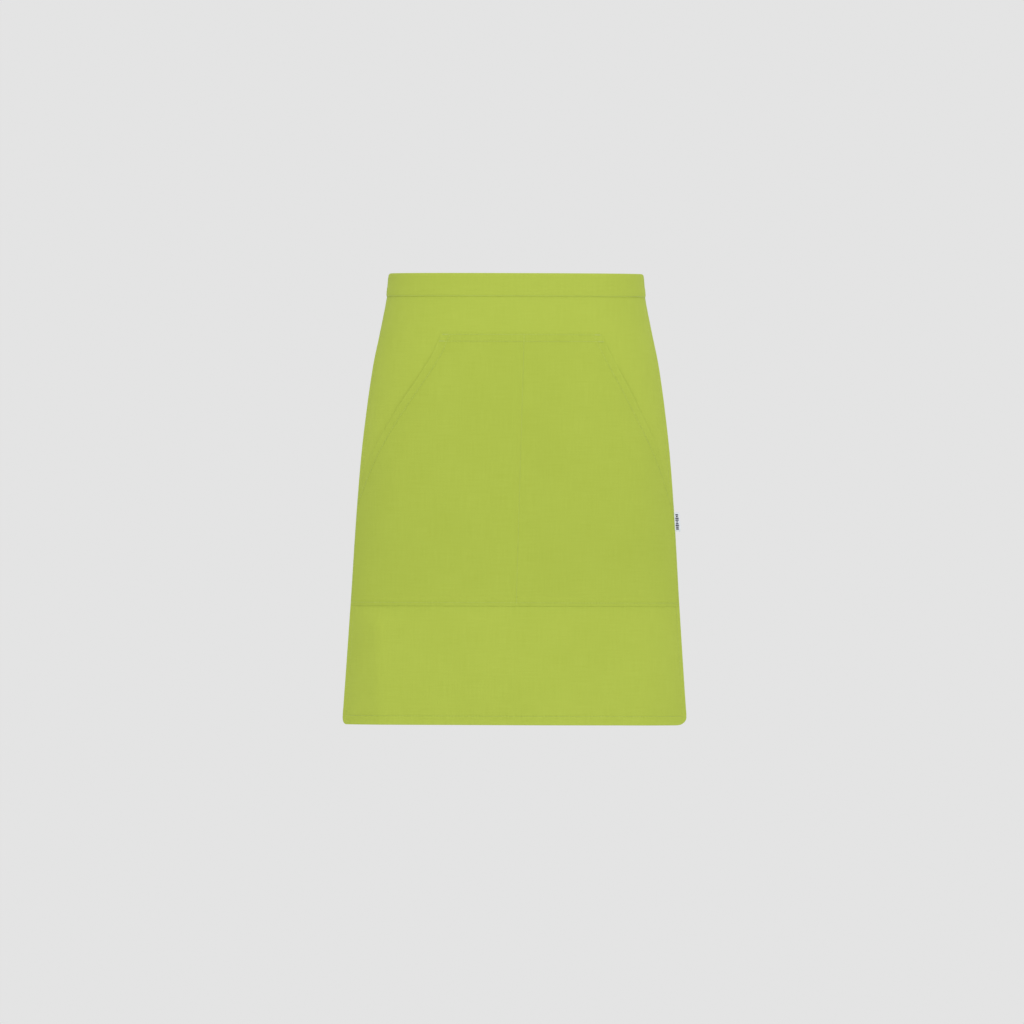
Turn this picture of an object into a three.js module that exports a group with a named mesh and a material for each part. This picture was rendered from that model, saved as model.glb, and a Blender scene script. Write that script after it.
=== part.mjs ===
// A waist apron with a wide two-sided front pocket, in the form that it has when worn:
// the panel wraps the front of the wearer, and two ties go round the back to a bow.
// Millimetres. +Z is up and -Y is the front. The origin is the middle of the waist
// opening, level with the top fold of the waistband, and every height here is a
// distance down from that fold.

import * as THREE from "three";

// Cloth. A seam, hem or layer keeps the clearance to the layer that it lies on.
const cloth = 1;
const clearance = 0.3;

// Heights down the apron.
const bandHeight = 25;
const panelAbovePocket = 39;
const pocketHeight = 291;
const panelBelowPocket = 125;
const pocketDrop = bandHeight + panelAbovePocket;
const pocketBottom = pocketDrop + pocketHeight;
const apronLength = pocketBottom + panelBelowPocket;

// The worn shape, measured on the middle of the panel's cloth.
const waistWidth = 271;
const hemWidth = 367;
const frontDepth = 108;
const backDepth = 98;
const backSquare = 2.2;

// Hems of the panel.
const sideHem = 9;
const bottomHem = 10;
const cornerRadius = 8.5;

// The pocket: its top edge runs from pocketTopLeft to pocketTopRight, and each side has a
// slanting mouth below it, down to the side seam.
const pocketTopLeft = 79;
const pocketTopRight = 91;
const mouthHeightLeft = 170;
const mouthHeightRight = 177;
const pocketInset = 1.5;
const pocketHem = 9;
const pocketGape = 9;
const divideTop = 8.8;
const divideBottom = 1.2;

// The folded side label, which stands out of the right side seam below the mouth.
const labelHeight = 20;
const labelReach = 6;
const labelThickness = 1.2;
const labelDrop = 13;
const labelLean = 12;

// The ties, which come out of the ends of the waistband, and the bow at the back.
const tieInset = 2.5;
const tieWidth = bandHeight - 2 * tieInset;
const knotWidth = 22;
const knotHeight = 21;
const knotDepth = 16;
const knotSet = 4;
const loopLength = 105;
const loopOpening = 10;
const loopDroop = 62;
const tailLengthLeft = 265;
const tailLengthRight = 240;
const tailSpread = 26;
const tailPush = 12;
const tailTwist = 14;

// The share of the widening from waistWidth to hemWidth that the waistband takes.
const bandFlare = 0.04;

// Each row is one level of the worn shape below the waistband. down is a share of the way
// from the band's lower edge to the hem, flare a share of the widening from waistWidth to
// hemWidth, depth a share of frontDepth, square the squareness of the curve round the
// wearer (2 is an ellipse), and wrap the share of the way from the middle of the front to
// the side that the cloth covers.
const levels = [
  { down: 0.0, flare: bandFlare, depth: 0.875, square: 2.6, wrap: 1.0 },
  { down: 0.05, flare: 0.127, depth: 0.9, square: 2.7, wrap: 0.951 },
  { down: 0.1, flare: 0.218, depth: 0.928, square: 2.8, wrap: 0.908 },
  { down: 0.15, flare: 0.315, depth: 0.953, square: 2.9, wrap: 0.874 },
  { down: 0.2, flare: 0.39, depth: 0.969, square: 2.98, wrap: 0.849 },
  { down: 0.26, flare: 0.467, depth: 0.985, square: 3.1, wrap: 0.825 },
  { down: 0.36, flare: 0.577, depth: 0.999, square: 3.2, wrap: 0.801 },
  { down: 0.47, flare: 0.665, depth: 1.0, square: 3.2, wrap: 0.79 },
  { down: 0.58, flare: 0.736, depth: 1.0, square: 3.15, wrap: 0.785 },
  { down: 0.69, flare: 0.799, depth: 1.0, square: 3.1, wrap: 0.78 },
  { down: 0.79, flare: 0.862, depth: 1.0, square: 3.0, wrap: 0.78 },
  { down: 0.9, flare: 0.933, depth: 1.0, square: 2.95, wrap: 0.78 },
  { down: 1.0, flare: 1.0, depth: 1.0, square: 2.9, wrap: 0.78 },
];

// Soft folds that grow from the bottom of the pocket to the hem. across is a share of the
// way from the middle to a side, lean how far it moves outwards by the hem, width its
// half width and out how far it stands out there as a share of panelBelowPocket.
const folds = [
  { across: -0.66, lean: -0.06, width: 0.1, out: 0.03 },
  { across: -0.4, lean: 0.1, width: 0.11, out: -0.026 },
  { across: 0.02, lean: 0.1, width: 0.12, out: 0.024 },
  { across: 0.4, lean: 0.06, width: 0.12, out: -0.024 },
  { across: 0.7, lean: 0.02, width: 0.1, out: 0.022 },
];

const clamp = THREE.MathUtils.clamp;
const lerp = THREE.MathUtils.lerp;
const ease = (x) => THREE.MathUtils.smoothstep(x, 0, 1);
const radians = THREE.MathUtils.degToRad;

// A column of a table at a share, on a smooth curve through its rows.
function smooth(table, column, share) {
  const at = clamp(share, table[0].down, table.at(-1).down);
  const last = table.length - 2;
  const i = clamp(table.findIndex((row) => row.down >= at) - 1, 0, last);
  const slope = (k) => {
    const a = table[Math.max(k - 1, 0)];
    const b = table[Math.min(k + 1, table.length - 1)];
    return (b[column] - a[column]) / (b.down - a.down);
  };
  const [low, high] = [table[i], table[i + 1]];
  const span = high.down - low.down;
  const t = (at - low.down) / span;
  return (
    low[column] * (1 + 2 * t) * (1 - t) ** 2 +
    high[column] * t * t * (3 - 2 * t) +
    span * (slope(i) * t * (1 - t) ** 2 - slope(i + 1) * t * t * (1 - t))
  );
}

// The curve round the wearer at one height: points with their distance along it from the
// middle of the front, and length, the distance to the side edge of the apron. Where the
// apron reaches the side, the curve goes on round the back, for the ties.
const knownLevels = new Map();
function levelAt(down) {
  if (knownLevels.has(down)) return knownLevels.get(down);
  const share = (down - bandHeight) / (apronLength - bandHeight);
  const flare = down < bandHeight ? bandFlare * (down / bandHeight) : smooth(levels, "flare", share);
  const width = lerp(waistWidth, hemWidth, flare);
  const depth = frontDepth * smooth(levels, "depth", share);
  const square = smooth(levels, "square", share);
  const wrap = smooth(levels, "wrap", share);
  const end = (wrap * Math.PI) / 2;
  const half = width / 2 / Math.sin(end) ** (2 / square);
  const steps = 240;
  const points = [];
  for (let i = 0; i <= steps; i++) {
    const a = (end * i) / steps;
    const y = -depth * Math.max(Math.cos(a), 0) ** (2 / square);
    points.push({ x: half * Math.sin(a) ** (2 / square), y });
  }
  for (let i = 1; i <= steps && down < bandHeight; i++) {
    const a = (Math.PI / 2) * (1 - i / steps);
    const y = backDepth * Math.cos(a) ** (2 / backSquare);
    points.push({ x: half * Math.sin(a) ** (2 / backSquare), y });
  }
  points[0].along = 0;
  for (let i = 1; i < points.length; i++) {
    const [p, q] = [points[i - 1], points[i]];
    q.along = p.along + Math.hypot(q.x - p.x, q.y - p.y);
  }
  const level = { points, length: points[steps].along };
  knownLevels.set(down, level);
  return level;
}

// A point of the worn shape: across is the distance along the cloth from the middle of the
// front, positive to the right, and out is the distance in front of the middle of the cloth.
function worn(across, down, out) {
  const { points, length } = levelAt(down);
  const far = Math.abs(across);
  let i = points.findIndex((p) => p.along > far);
  if (i < 1) i = points.length - 1;
  const [p, q] = [points[i - 1], points[i]];
  const span = q.along - p.along;
  const t = (far - p.along) / span;
  const side = Math.sign(across) || 1;
  const normal = { x: (q.y - p.y) / span, y: (p.x - q.x) / span };
  const stand = out + foldAt(across / length, down);
  return new THREE.Vector3(
    side * (lerp(p.x, q.x, t) + stand * normal.x),
    lerp(p.y, q.y, t) + stand * normal.y,
    -down,
  );
}

// How far the soft folds move the cloth outwards.
function foldAt(share, down) {
  const drop = (down - pocketBottom) / panelBelowPocket;
  if (drop <= 0) return 0;
  const grow = ease(drop) * panelBelowPocket;
  const bump = (f) => {
    const off = (share - f.across - f.lean * drop) / f.width;
    return f.out * Math.exp(-off * off);
  };
  return grow * folds.reduce((sum, f) => sum + bump(f), 0);
}

// A closed wall of cloth. Each column runs down the front of the cloth in its front list
// and down the back in its back list, and the columns go from left to right seen from the
// front. All the lists have the same length.
function clothWall(columns) {
  const rows = columns[0].front.length;
  const positions = columns.flatMap((c) => [...c.front, ...c.back]);
  const front = (i, j) => i * 2 * rows + j;
  const back = (i, j) => front(i, j) + rows;
  const faces = [];
  const quad = (a, b, c, d) => faces.push(a, b, c, a, c, d);
  for (let i = 0; i + 1 < columns.length; i++) {
    for (let j = 0; j + 1 < rows; j++) {
      quad(front(i, j), front(i, j + 1), front(i + 1, j + 1), front(i + 1, j));
      quad(back(i, j), back(i + 1, j), back(i + 1, j + 1), back(i, j + 1));
    }
    const end = rows - 1;
    quad(front(i, 0), front(i + 1, 0), back(i + 1, 0), back(i, 0));
    quad(front(i, end), back(i, end), back(i + 1, end), front(i + 1, end));
  }
  const right = columns.length - 1;
  for (let j = 0; j + 1 < rows; j++) {
    quad(front(0, j), back(0, j), back(0, j + 1), front(0, j + 1));
    quad(front(right, j), front(right, j + 1), back(right, j + 1), back(right, j));
  }
  const geometry = new THREE.BufferGeometry().setFromPoints(positions);
  geometry.setIndex(faces);
  geometry.computeVertexNormals();
  return geometry;
}

// The lines that run down the apron, shared by all its layers so that their facets match.
// A line lies at share of the way to the side hem, plus a number of millimetres.
const acrossSteps = 13;
const foldStep = 0.4;
const lineAt = (line, down) => {
  const side = Math.sign(line.share) || 1;
  return line.share * (levelAt(down).length - sideHem) + side * line.plus;
};

// The side hem's lines, from the edge of the cloth in: round the corner, then its fold.
const cornerTurns = [0, 22.5, 45, 67.5, 90];
const corner = Math.min(cornerRadius, sideHem - foldStep, bottomHem - foldStep);
const hemInsets = [
  ...cornerTurns.map((turn) => corner * (1 - Math.cos(radians(turn)))),
  sideHem,
  sideHem + foldStep,
];

// The same lines on both sides and the ones between them, from left to right.
function panelLines() {
  const hemLines = (share) =>
    hemInsets.map((inset) => ({ share, plus: sideHem - inset, inset }));
  const middle = [];
  for (let k = 1 - acrossSteps; k < acrossSteps; k++) {
    middle.push({ share: k / acrossSteps, plus: 0, inset: Infinity });
  }
  return [...hemLines(-1), ...middle, ...hemLines(1).reverse()];
}

// The front panel. Its side hems stop below the waistband, and each tie's end takes the
// hem's place inside the band.
const bandFold = cloth * 1.2;
const panelTop = bandFold + 2 * clearance;
const panelTopAtTie = tieInset + tieWidth + clearance;
const bodyShares = [0.05, 0.11, 0.18, 0.26, 0.35, 0.45, 0.56, 0.67, 0.78, 0.89, 1];
const skirtShares = [0.2, 0.4, 0.6, 0.8];

function panelColumn(line) {
  const inHem = line.inset <= sideHem;
  const rounding = Math.max(corner - line.inset, 0);
  const bottom = apronLength - corner + Math.sqrt(corner ** 2 - rounding ** 2);
  const hemTop = bottom - bottomHem;
  const heights = [
    { down: inHem ? panelTopAtTie : panelTop },
    { down: bandHeight + clearance },
    { down: bandHeight + clearance + foldStep, hem: inHem },
    ...bodyShares.map((share) => ({ down: lerp(bandHeight, pocketBottom, share), hem: inHem })),
    ...skirtShares.map((share) => ({ down: lerp(pocketBottom, hemTop, share), hem: inHem })),
    { down: hemTop - foldStep, hem: inHem },
    { down: hemTop, hem: true },
    { down: bottom, hem: true },
  ];
  const place = ({ down }, out) => worn(lineAt(line, down), down, out);
  return {
    front: heights.map((h) => place(h, cloth / 2)),
    back: heights.map((h) => place(h, h.hem ? -1.5 * cloth : -0.5 * cloth)),
  };
}

// The waistband, one strip folded over the top of the panel: its outer skin runs up the
// front, over the fold and down behind, and its inner skin follows inside.
function bandColumn(line) {
  const inside = cloth / 2 + clearance;
  const outside = inside + cloth;
  const round = cloth * 0.8;
  const skin = (reach, top) => [
    [reach, bandHeight],
    [reach, top + round],
    [reach - round * 0.7, top],
    [round * 0.7 - reach, top],
    [-reach, top + round],
    [-reach, bandHeight],
  ];
  const place = ([out, down]) => worn(lineAt(line, down), down, out);
  return {
    front: skin(outside, 0).map(place).reverse(),
    back: skin(inside, bandFold).map(place).reverse(),
  };
}

// The pocket's two sides. corner is the end of its top edge, mouth the height of the
// slanting opening from there down to the side seam, which it reaches at the level end.
const sides = {
  left: { sign: -1, corner: pocketTopLeft, mouth: mouthHeightLeft },
  right: { sign: 1, corner: pocketTopRight, mouth: mouthHeightRight },
};
for (const side of Object.values(sides)) {
  side.end = pocketDrop + side.mouth;
  side.seam = levelAt(side.end).length - pocketInset;
  side.hemDown = pocketHem / Math.sin(Math.atan2(side.seam - side.corner, side.mouth));
}
const pocketOut = cloth / 2 + clearance + 2 * cloth;
const sideOf = (across) => (across < 0 ? sides.left : sides.right);
const divideAt = (down) => lerp(divideTop, divideBottom, (down - pocketDrop) / pocketHeight);

// How far the pocket stands off the panel: nothing where it is sewn, which is along its
// top, its sides below the mouths, its bottom and the dividing seam.
const gapeReach = { side: 55, top: 60, divide: 50, bottom: 100 };
function gapeAt(across, down) {
  const side = sideOf(across);
  const far = Math.abs(across);
  const seam = levelAt(down).length - sideHem - pocketInset;
  const top = pocketDrop + pocketHem;
  const toSide = Math.hypot(seam - far, Math.max(side.end - down, 0));
  const toTop = Math.hypot(Math.max(far - side.corner, 0), Math.max(down - top, 0));
  const toDivide = Math.abs(across - divideAt(down));
  const toBottom = pocketBottom - pocketHem - down;
  return (
    pocketGape *
    (far > seam ? 0 : ease(toSide / gapeReach.side)) *
    (down < top ? 0 : ease(toTop / gapeReach.top)) *
    ease(toDivide / gapeReach.divide) *
    ease(toBottom / gapeReach.bottom)
  );
}

// The lines down the pocket: its side hems, the panel's own lines beside the top edge,
// the corners of the top edge, and lines spread from each corner to the dividing seam.
const divideGroove = 7;
const topSteps = 4;
function pocketLines() {
  const half = (side) => {
    const reach = levelAt(side.end).length - sideHem;
    const fixed = (at) => ({ side, at, down: () => side.sign * at });
    const hem = [pocketInset, pocketInset + pocketHem, pocketInset + pocketHem + foldStep];
    const lines = hem.map((inset) => ({
      side,
      at: levelAt(side.end).length - inset,
      down: (down) => side.sign * (levelAt(down).length - inset),
      inSideHem: inset <= pocketInset + pocketHem,
    }));
    for (let k = acrossSteps - 1; k > 0; k--) {
      const at = (reach * k) / acrossSteps;
      const clear = at > side.corner + reach / acrossSteps / 2;
      const down = (d) => lineAt({ share: (side.sign * k) / acrossSteps, plus: 0 }, d);
      if (clear) lines.push({ side, at, down });
    }
    lines.push(fixed(side.corner));
    for (let k = 1; k <= topSteps; k++) {
      const near = (down) => divideAt(down) + side.sign * divideGroove;
      const down = (d) => lerp(side.sign * side.corner, near(d), k / topSteps);
      lines.push({ side, at: 0, down });
    }
    return lines;
  };
  const middle = { side: sides.right, at: 0, down: divideAt, groove: true };
  return [...half(sides.left), middle, ...half(sides.right).reverse()];
}

const pocketShares = [0.1, 0.24, 0.4, 0.56, 0.72, 0.87];
function pocketColumn(line) {
  const { side } = line;
  const slant = clamp((line.at - side.corner) / (side.seam - side.corner), 0, 1);
  const top = pocketDrop + side.mouth * slant;
  const hemEnd = top + (line.at > side.corner ? side.hemDown : pocketHem);
  const bottomHemTop = pocketBottom - pocketHem;
  const first = hemEnd + foldStep;
  const last = bottomHemTop - foldStep;
  const heights = [
    { down: top, hem: true },
    { down: hemEnd, hem: true },
    { down: first },
    ...pocketShares.map((share) => ({ down: lerp(first, last, share) })),
    { down: last },
    { down: bottomHemTop, hem: true },
    { down: pocketBottom, hem: true },
  ];
  const skin = (behind) =>
    heights.map(({ down, hem }) => {
      const folded = hem || line.inSideHem;
      const groove = line.groove && !folded ? cloth : 0;
      const out = pocketOut - groove + gapeAt(line.down(down), down);
      const depth = folded ? 2 * cloth : cloth;
      return worn(line.down(down), down, behind ? out - depth : out);
    });
  return { front: skin(false), back: skin(true) };
}

// A tape that follows a path. middle, across and width give its middle line, the direction
// across it and its width, for a share of its length.
const smallShare = 1e-3;
function tape(steps, { middle, across, width }) {
  const columns = [];
  for (let i = 0; i <= steps; i++) {
    const t = i / steps;
    const back = middle(Math.max(t - smallShare, 0));
    const onward = middle(Math.min(t + smallShare, 1)).sub(back);
    const wide = across(t).normalize().multiplyScalar(width(t) / 2);
    const out = onward.cross(wide).normalize().multiplyScalar(cloth / 2);
    const point = (w, o) => middle(t).addScaledVector(wide, w).addScaledVector(out, o);
    columns.push({ front: [point(1, 1), point(-1, 1)], back: [point(1, -1), point(-1, -1)] });
  }
  return clothWall(columns);
}

// One tie, from inside the end of the waistband round the back to the knot.
const tieSteps = 16;
const tieNarrowing = 0.72;
function tieColumns(sign) {
  const middleDown = tieInset + tieWidth / 2;
  const inBand = { plus: clearance - sideHem, share: 0 };
  const behind = Array.from({ length: tieSteps + 1 }, (_, i) => ({ plus: 0, share: i / tieSteps }));
  const columns = [inBand, ...behind].map(({ plus, share }) => {
    const near = ease((share - 0.8) / 0.2);
    const half = (tieWidth / 2) * lerp(1, tieNarrowing, near);
    const place = (down, out) => {
      const { points, length } = levelAt(down);
      const run = points.at(-1).along - knotWidth / 2 - clearance - length;
      return worn(sign * (length + plus + share * run), down, out);
    };
    const heights = [middleDown - half, middleDown + half];
    return {
      front: heights.map((down) => place(down, cloth / 2)),
      back: heights.map((down) => place(down, -cloth / 2)),
    };
  });
  return sign > 0 ? columns : columns.reverse();
}

// The knot, a short wrapped roll whose ends take the ties and the loops.
const knotMiddle = new THREE.Vector3(0, backDepth + knotSet, -(tieInset + tieWidth / 2));
function knotGeometry() {
  const bevel = 2.5;
  const [y, z] = [knotDepth / 2 - bevel, knotHeight / 2 - bevel];
  const round = Math.min(y, z) * 0.8;
  const section = new THREE.Shape();
  section.moveTo(-y + round, -z);
  section.lineTo(y - round, -z);
  section.absarc(y - round, -z + round, round, -Math.PI / 2, 0);
  section.absarc(y - round, z - round, round, 0, Math.PI / 2);
  section.absarc(-y + round, z - round, round, Math.PI / 2, Math.PI);
  section.absarc(-y + round, -z + round, round, Math.PI, Math.PI * 1.5);
  const geometry = new THREE.ExtrudeGeometry(section, {
    depth: knotWidth - 2 * bevel,
    bevelThickness: bevel,
    bevelSize: bevel,
    bevelSegments: 2,
    curveSegments: 3,
  });
  geometry.translate(0, 0, bevel - knotWidth / 2);
  geometry.rotateX(Math.PI / 2);
  geometry.rotateZ(Math.PI / 2);
  return geometry;
}

// One loop of the bow: a teardrop that leaves the knot, droops and comes back to it. It
// starts loopStart from the knot, and near there it opens by the share openAtRoot.
const loopSteps = 26;
const loopStart = 2;
const loopRoot = 1.6;
const openAtRoot = 0.4;
function loopGeometry(sign) {
  const root = new THREE.Vector2(knotWidth / 2 + loopStart, 0);
  const bend = new THREE.Vector2(root.x + loopLength * 0.5, -loopDroop * 0.1);
  const tip = new THREE.Vector2(root.x + loopLength * 0.8, -loopDroop);
  const spine = new THREE.QuadraticBezierCurve(root, bend, tip);
  const reachAt = (t) => (1 - Math.cos(2 * Math.PI * t)) / 2;
  const openAt = (t) =>
    loopOpening * Math.sin(2 * Math.PI * t) * lerp(openAtRoot, 1, reachAt(t)) +
    loopRoot * (1 - 2 * t);
  const middle = (t) => {
    const p = spine.getPoint(reachAt(t));
    return new THREE.Vector3(sign * p.x, openAt(t) + knotSet, p.y).add(knotMiddle);
  };
  const across = (t) => {
    const d = spine.getTangent(reachAt(t));
    return new THREE.Vector3(-sign * d.y, 0, d.x);
  };
  const width = (t) => tieWidth * lerp(0.6, 1, ease(reachAt(t) / 0.35));
  return tape(loopSteps, { middle, across, width });
}

// One tail, which hangs from the underside of the knot.
const tailSteps = 10;
const tailGap = 3;
function tailGeometry(sign, length) {
  const start = new THREE.Vector3(
    sign * tieWidth * 0.2,
    (sign * tailGap) / 2,
    -knotHeight / 2 - clearance,
  ).add(knotMiddle);
  const middle = (t) =>
    new THREE.Vector3(
      start.x + sign * tailSpread * ease(t),
      start.y + tailPush * Math.sin((t * Math.PI) / 2),
      start.z - length * t,
    );
  const twist = radians(tailTwist) * sign;
  const across = (t) => new THREE.Vector3(Math.cos(twist * t), Math.sin(twist * t), 0);
  const width = (t) => tieWidth * lerp(0.6, 1, ease(t / 0.12));
  return tape(tailSteps, { middle, across, width });
}

// The folded side label. It stands on the panel's side hem, just behind the pocket's edge.
function labelGeometry() {
  const top = sides.right.end + labelDrop;
  const inset = pocketInset / 2;
  const lean = radians(labelLean);
  const along = new THREE.Vector3(Math.cos(lean), Math.sin(lean), 0);
  const face = new THREE.Vector3(along.y, -along.x, 0);
  const stand = cloth / 2 + 2 * clearance + labelThickness / 2;
  const root = (down) => worn(levelAt(down).length - inset, down, stand);
  const ends = [
    { reach: 0, thick: 1 },
    { reach: 0.9, thick: 1 },
    { reach: 0.97, thick: 0.8 },
    { reach: 1, thick: 0.35 },
  ];
  const heights = [top, top + labelHeight];
  return clothWall(
    ends.map(({ reach, thick }) => {
      const half = (thick * labelThickness) / 2;
      const place = (down, out) =>
        root(down).addScaledVector(along, reach * labelReach).addScaledVector(face, out);
      return {
        front: heights.map((down) => place(down, half)),
        back: heights.map((down) => place(down, -half)),
      };
    }),
  );
}

// Colours and surfaces.
const twill = new THREE.MeshStandardMaterial({ color: 0xafc14e, roughness: 0.9 });
const pocketTwill = new THREE.MeshStandardMaterial({ color: 0xacbe4b, roughness: 0.9 });
const labelWeave = new THREE.MeshStandardMaterial({ color: 0xdfe4ee, roughness: 0.6 });

const apron = new THREE.Group();
function piece(name, geometry, material) {
  const mesh = new THREE.Mesh(geometry, material);
  mesh.name = name;
  apron.add(mesh);
  return mesh;
}

piece("front_panel", clothWall(panelLines().map(panelColumn)), twill);
piece("waistband", clothWall(panelLines().map(bandColumn)), twill);
piece("pocket", clothWall(pocketLines().map(pocketColumn)), pocketTwill);
piece("side_label", labelGeometry(), labelWeave);
piece("tie_left", clothWall(tieColumns(-1)), twill);
piece("tie_right", clothWall(tieColumns(1)), twill);
piece("bow_knot", knotGeometry(), twill).position.copy(knotMiddle);
piece("bow_loop_left", loopGeometry(-1), twill);
piece("bow_loop_right", loopGeometry(1), twill);
piece("tie_tail_left", tailGeometry(-1, tailLengthLeft), twill);
piece("tie_tail_right", tailGeometry(1, tailLengthRight), twill);

export default apron;
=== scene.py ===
# %% [markdown]
# # A lime green waist apron
#
# This lesson dresses a short waist apron in its worn form: a shaped front panel, a folded
# waistband, one wide pocket with a slanting mouth at each side, a side label, and two ties
# in a bow at the back. The frame holds the right sizes and places. Here each plain solid
# gives way to real cloth: thin layers, turned hems, rows of stitches, small puckers where
# thread pulls the cloth in, and a woven surface.

# %% Load the frame
import math
from functools import partial
import bpy
import numpy as np
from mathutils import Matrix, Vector


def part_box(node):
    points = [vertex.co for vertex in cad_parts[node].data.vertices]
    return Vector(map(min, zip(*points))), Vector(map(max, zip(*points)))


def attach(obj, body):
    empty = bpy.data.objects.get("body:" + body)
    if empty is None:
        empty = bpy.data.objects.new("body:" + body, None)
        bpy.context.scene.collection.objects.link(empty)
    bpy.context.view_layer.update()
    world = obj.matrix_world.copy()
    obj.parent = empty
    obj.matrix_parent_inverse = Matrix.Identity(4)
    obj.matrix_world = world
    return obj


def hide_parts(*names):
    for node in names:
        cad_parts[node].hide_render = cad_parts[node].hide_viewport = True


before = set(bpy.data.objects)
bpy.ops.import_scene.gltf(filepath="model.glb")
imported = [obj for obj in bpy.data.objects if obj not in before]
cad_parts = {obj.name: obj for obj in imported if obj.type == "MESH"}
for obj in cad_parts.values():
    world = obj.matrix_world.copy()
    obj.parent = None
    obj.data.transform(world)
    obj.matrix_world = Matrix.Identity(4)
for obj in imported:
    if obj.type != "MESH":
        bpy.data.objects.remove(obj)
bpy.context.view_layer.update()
mm = 0.001

# %% [markdown]
# ## Sizes
#
# Heights are distances down from the top fold of the waistband, which lies at z = 0. They
# are read off the frame's own solids, so that a change to the apron's sizes moves the
# cloth too. Real cloth of this kind is about 0.45 mm thick, thinner than the solids, and
# the pocket's pressed lower edge lies a little above the foot of its solid.

# %% Heights and layers
cloth = 0.45 * mm
side_hem = 9 * mm
bottom_hem = 10 * mm
pocket_above_foot = 0.9 * mm

band_height = -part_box("waistband")[0].z
pocket_top = -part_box("pocket")[1].z
pocket_bottom = -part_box("pocket")[0].z - pocket_above_foot
apron_length = -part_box("front_panel")[0].z
below_pocket = apron_length - pocket_bottom
print("band", round(band_height / mm, 1), "pocket", round(pocket_top / mm, 1), "to",
      round(pocket_bottom / mm, 1), "hem", round(apron_length / mm, 1))

# %% [markdown]
# ## The worn surface
#
# A worn apron follows the body: nearly a flat oval at the waist, squarer and wider over
# the hips. It could be draped by a cloth simulation over a body, but the panel hangs
# smooth and keeps its shape, so a surface through a few cross-sections is closer to the
# real thing and easier to sew seams on. Every piece is placed on it by its pattern
# coordinates: the distance across the cloth from the middle of the front, the distance
# down, and how far the layer stands out. Each level of the table is a share of the way
# from the band to the hem. It gives the share of the widening that is reached there, the
# share of the full depth, how square the oval is, and the share of the half round that
# the cloth covers.

# %% Cross-sections from the band's lower edge to the hem
waist_width = 271 * mm
hem_width = 367 * mm
front_depth = 108 * mm
band_flare = 0.04
levels = {
    "down": [0.0, 0.05, 0.1, 0.15, 0.2, 0.26, 0.36, 0.47, 0.58, 0.69, 0.79, 0.9, 1.0],
    "flare": [band_flare, 0.127, 0.218, 0.315, 0.39, 0.467, 0.577, 0.665, 0.736, 0.799,
              0.862, 0.933, 1.0],
    "depth": [0.875, 0.9, 0.928, 0.953, 0.969, 0.985, 0.999, 1.0, 1.0, 1.0, 1.0, 1.0, 1.0],
    "square": [2.6, 2.7, 2.8, 2.9, 2.98, 3.1, 3.2, 3.2, 3.15, 3.1, 3.0, 2.95, 2.9],
    "wrap": [1.0, 0.951, 0.908, 0.874, 0.849, 0.825, 0.801, 0.79, 0.785, 0.78, 0.78, 0.78,
             0.78],
}


def on_levels(column, share):
    """A column of the table at a share of the way down, on a smooth curve."""
    x, y = np.array(levels["down"]), np.array(levels[column])
    slope = np.empty_like(y)
    slope[1:-1] = (y[2:] - y[:-2]) / (x[2:] - x[:-2])
    slope[0] = (y[1] - y[0]) / (x[1] - x[0])
    slope[-1] = (y[-1] - y[-2]) / (x[-1] - x[-2])
    i = np.clip(np.searchsorted(x, share, side="right") - 1, 0, len(x) - 2)
    span = x[i + 1] - x[i]
    t = (share - x[i]) / span
    return (y[i] * (1 + 2 * t) * (1 - t) ** 2 + y[i + 1] * t * t * (3 - 2 * t)
            + span * (slope[i] * t * (1 - t) ** 2 - slope[i + 1] * t * t * (1 - t)))


def level_curve(down):
    """The curve round the wearer at one height, from the front to the apron's edge."""
    share = max((down - band_height) / (apron_length - band_height), 0)
    flare = band_flare * down / band_height if share == 0 else on_levels("flare", share)
    width = waist_width + (hem_width - waist_width) * flare
    depth = front_depth * on_levels("depth", share)
    square = on_levels("square", share)
    end = on_levels("wrap", share) * math.pi / 2
    half = width / 2 / math.sin(end) ** (2 / square)
    a = np.linspace(0, end, 700)
    x = half * np.sin(a) ** (2 / square)
    y = -depth * np.maximum(np.cos(a), 0) ** (2 / square)
    along = np.concatenate([[0], np.cumsum(np.hypot(np.diff(x), np.diff(y)))])
    return x, y, along


# %% A fine table of the surface, and the function that reads it
level_count, share_count = 481, 401
shares = np.linspace(0, 1, share_count)
lengths = np.empty(level_count)
surface = np.empty((4, level_count, share_count))
for row, down in enumerate(np.linspace(0, apron_length, level_count)):
    x, y, along = level_curve(down)
    lengths[row] = along[-1]
    x, y = (np.interp(shares * along[-1], along, v) for v in (x, y))
    tx, ty = np.gradient(x), np.gradient(y)
    size = np.hypot(tx, ty)
    surface[:, row] = x, y, ty / size, -tx / size
print("the surface's table has", level_count, "heights and", share_count, "places across")

# %% [markdown]
# Below the pocket a single layer hangs free, and the body's legs and the pocket's weight
# give it soft folds that grow towards the hem. Places, leans and widths are shares of the
# half width. A fold's height is a share of the drop below the pocket. The one crease at
# the left is sharper: it has a rounded crest, is full grown soon below the pocket, and
# fades before the side edge.

# %% Folds below the pocket, and points on the surface
folds = [
    {"across": -0.4, "lean": 0.1, "width": 0.11, "out": -0.026},
    {"across": 0.02, "lean": 0.1, "width": 0.12, "out": 0.024},
    {"across": 0.4, "lean": 0.06, "width": 0.12, "out": -0.024},
    {"across": 0.7, "lean": 0.02, "width": 0.1, "out": 0.022},
]
crease = {"across": -0.765, "lean": 0.055, "width": 0.11, "round": 0.25, "out": 5.8 * mm,
          "grown": 0.2, "fade": 0.16}
normal_step = 0.5 * mm


def ease(x):
    """0 below 0, 1 above 1, and smooth between."""
    x = np.clip(x, 0, 1)
    return x * x * (3 - 2 * x)


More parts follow.
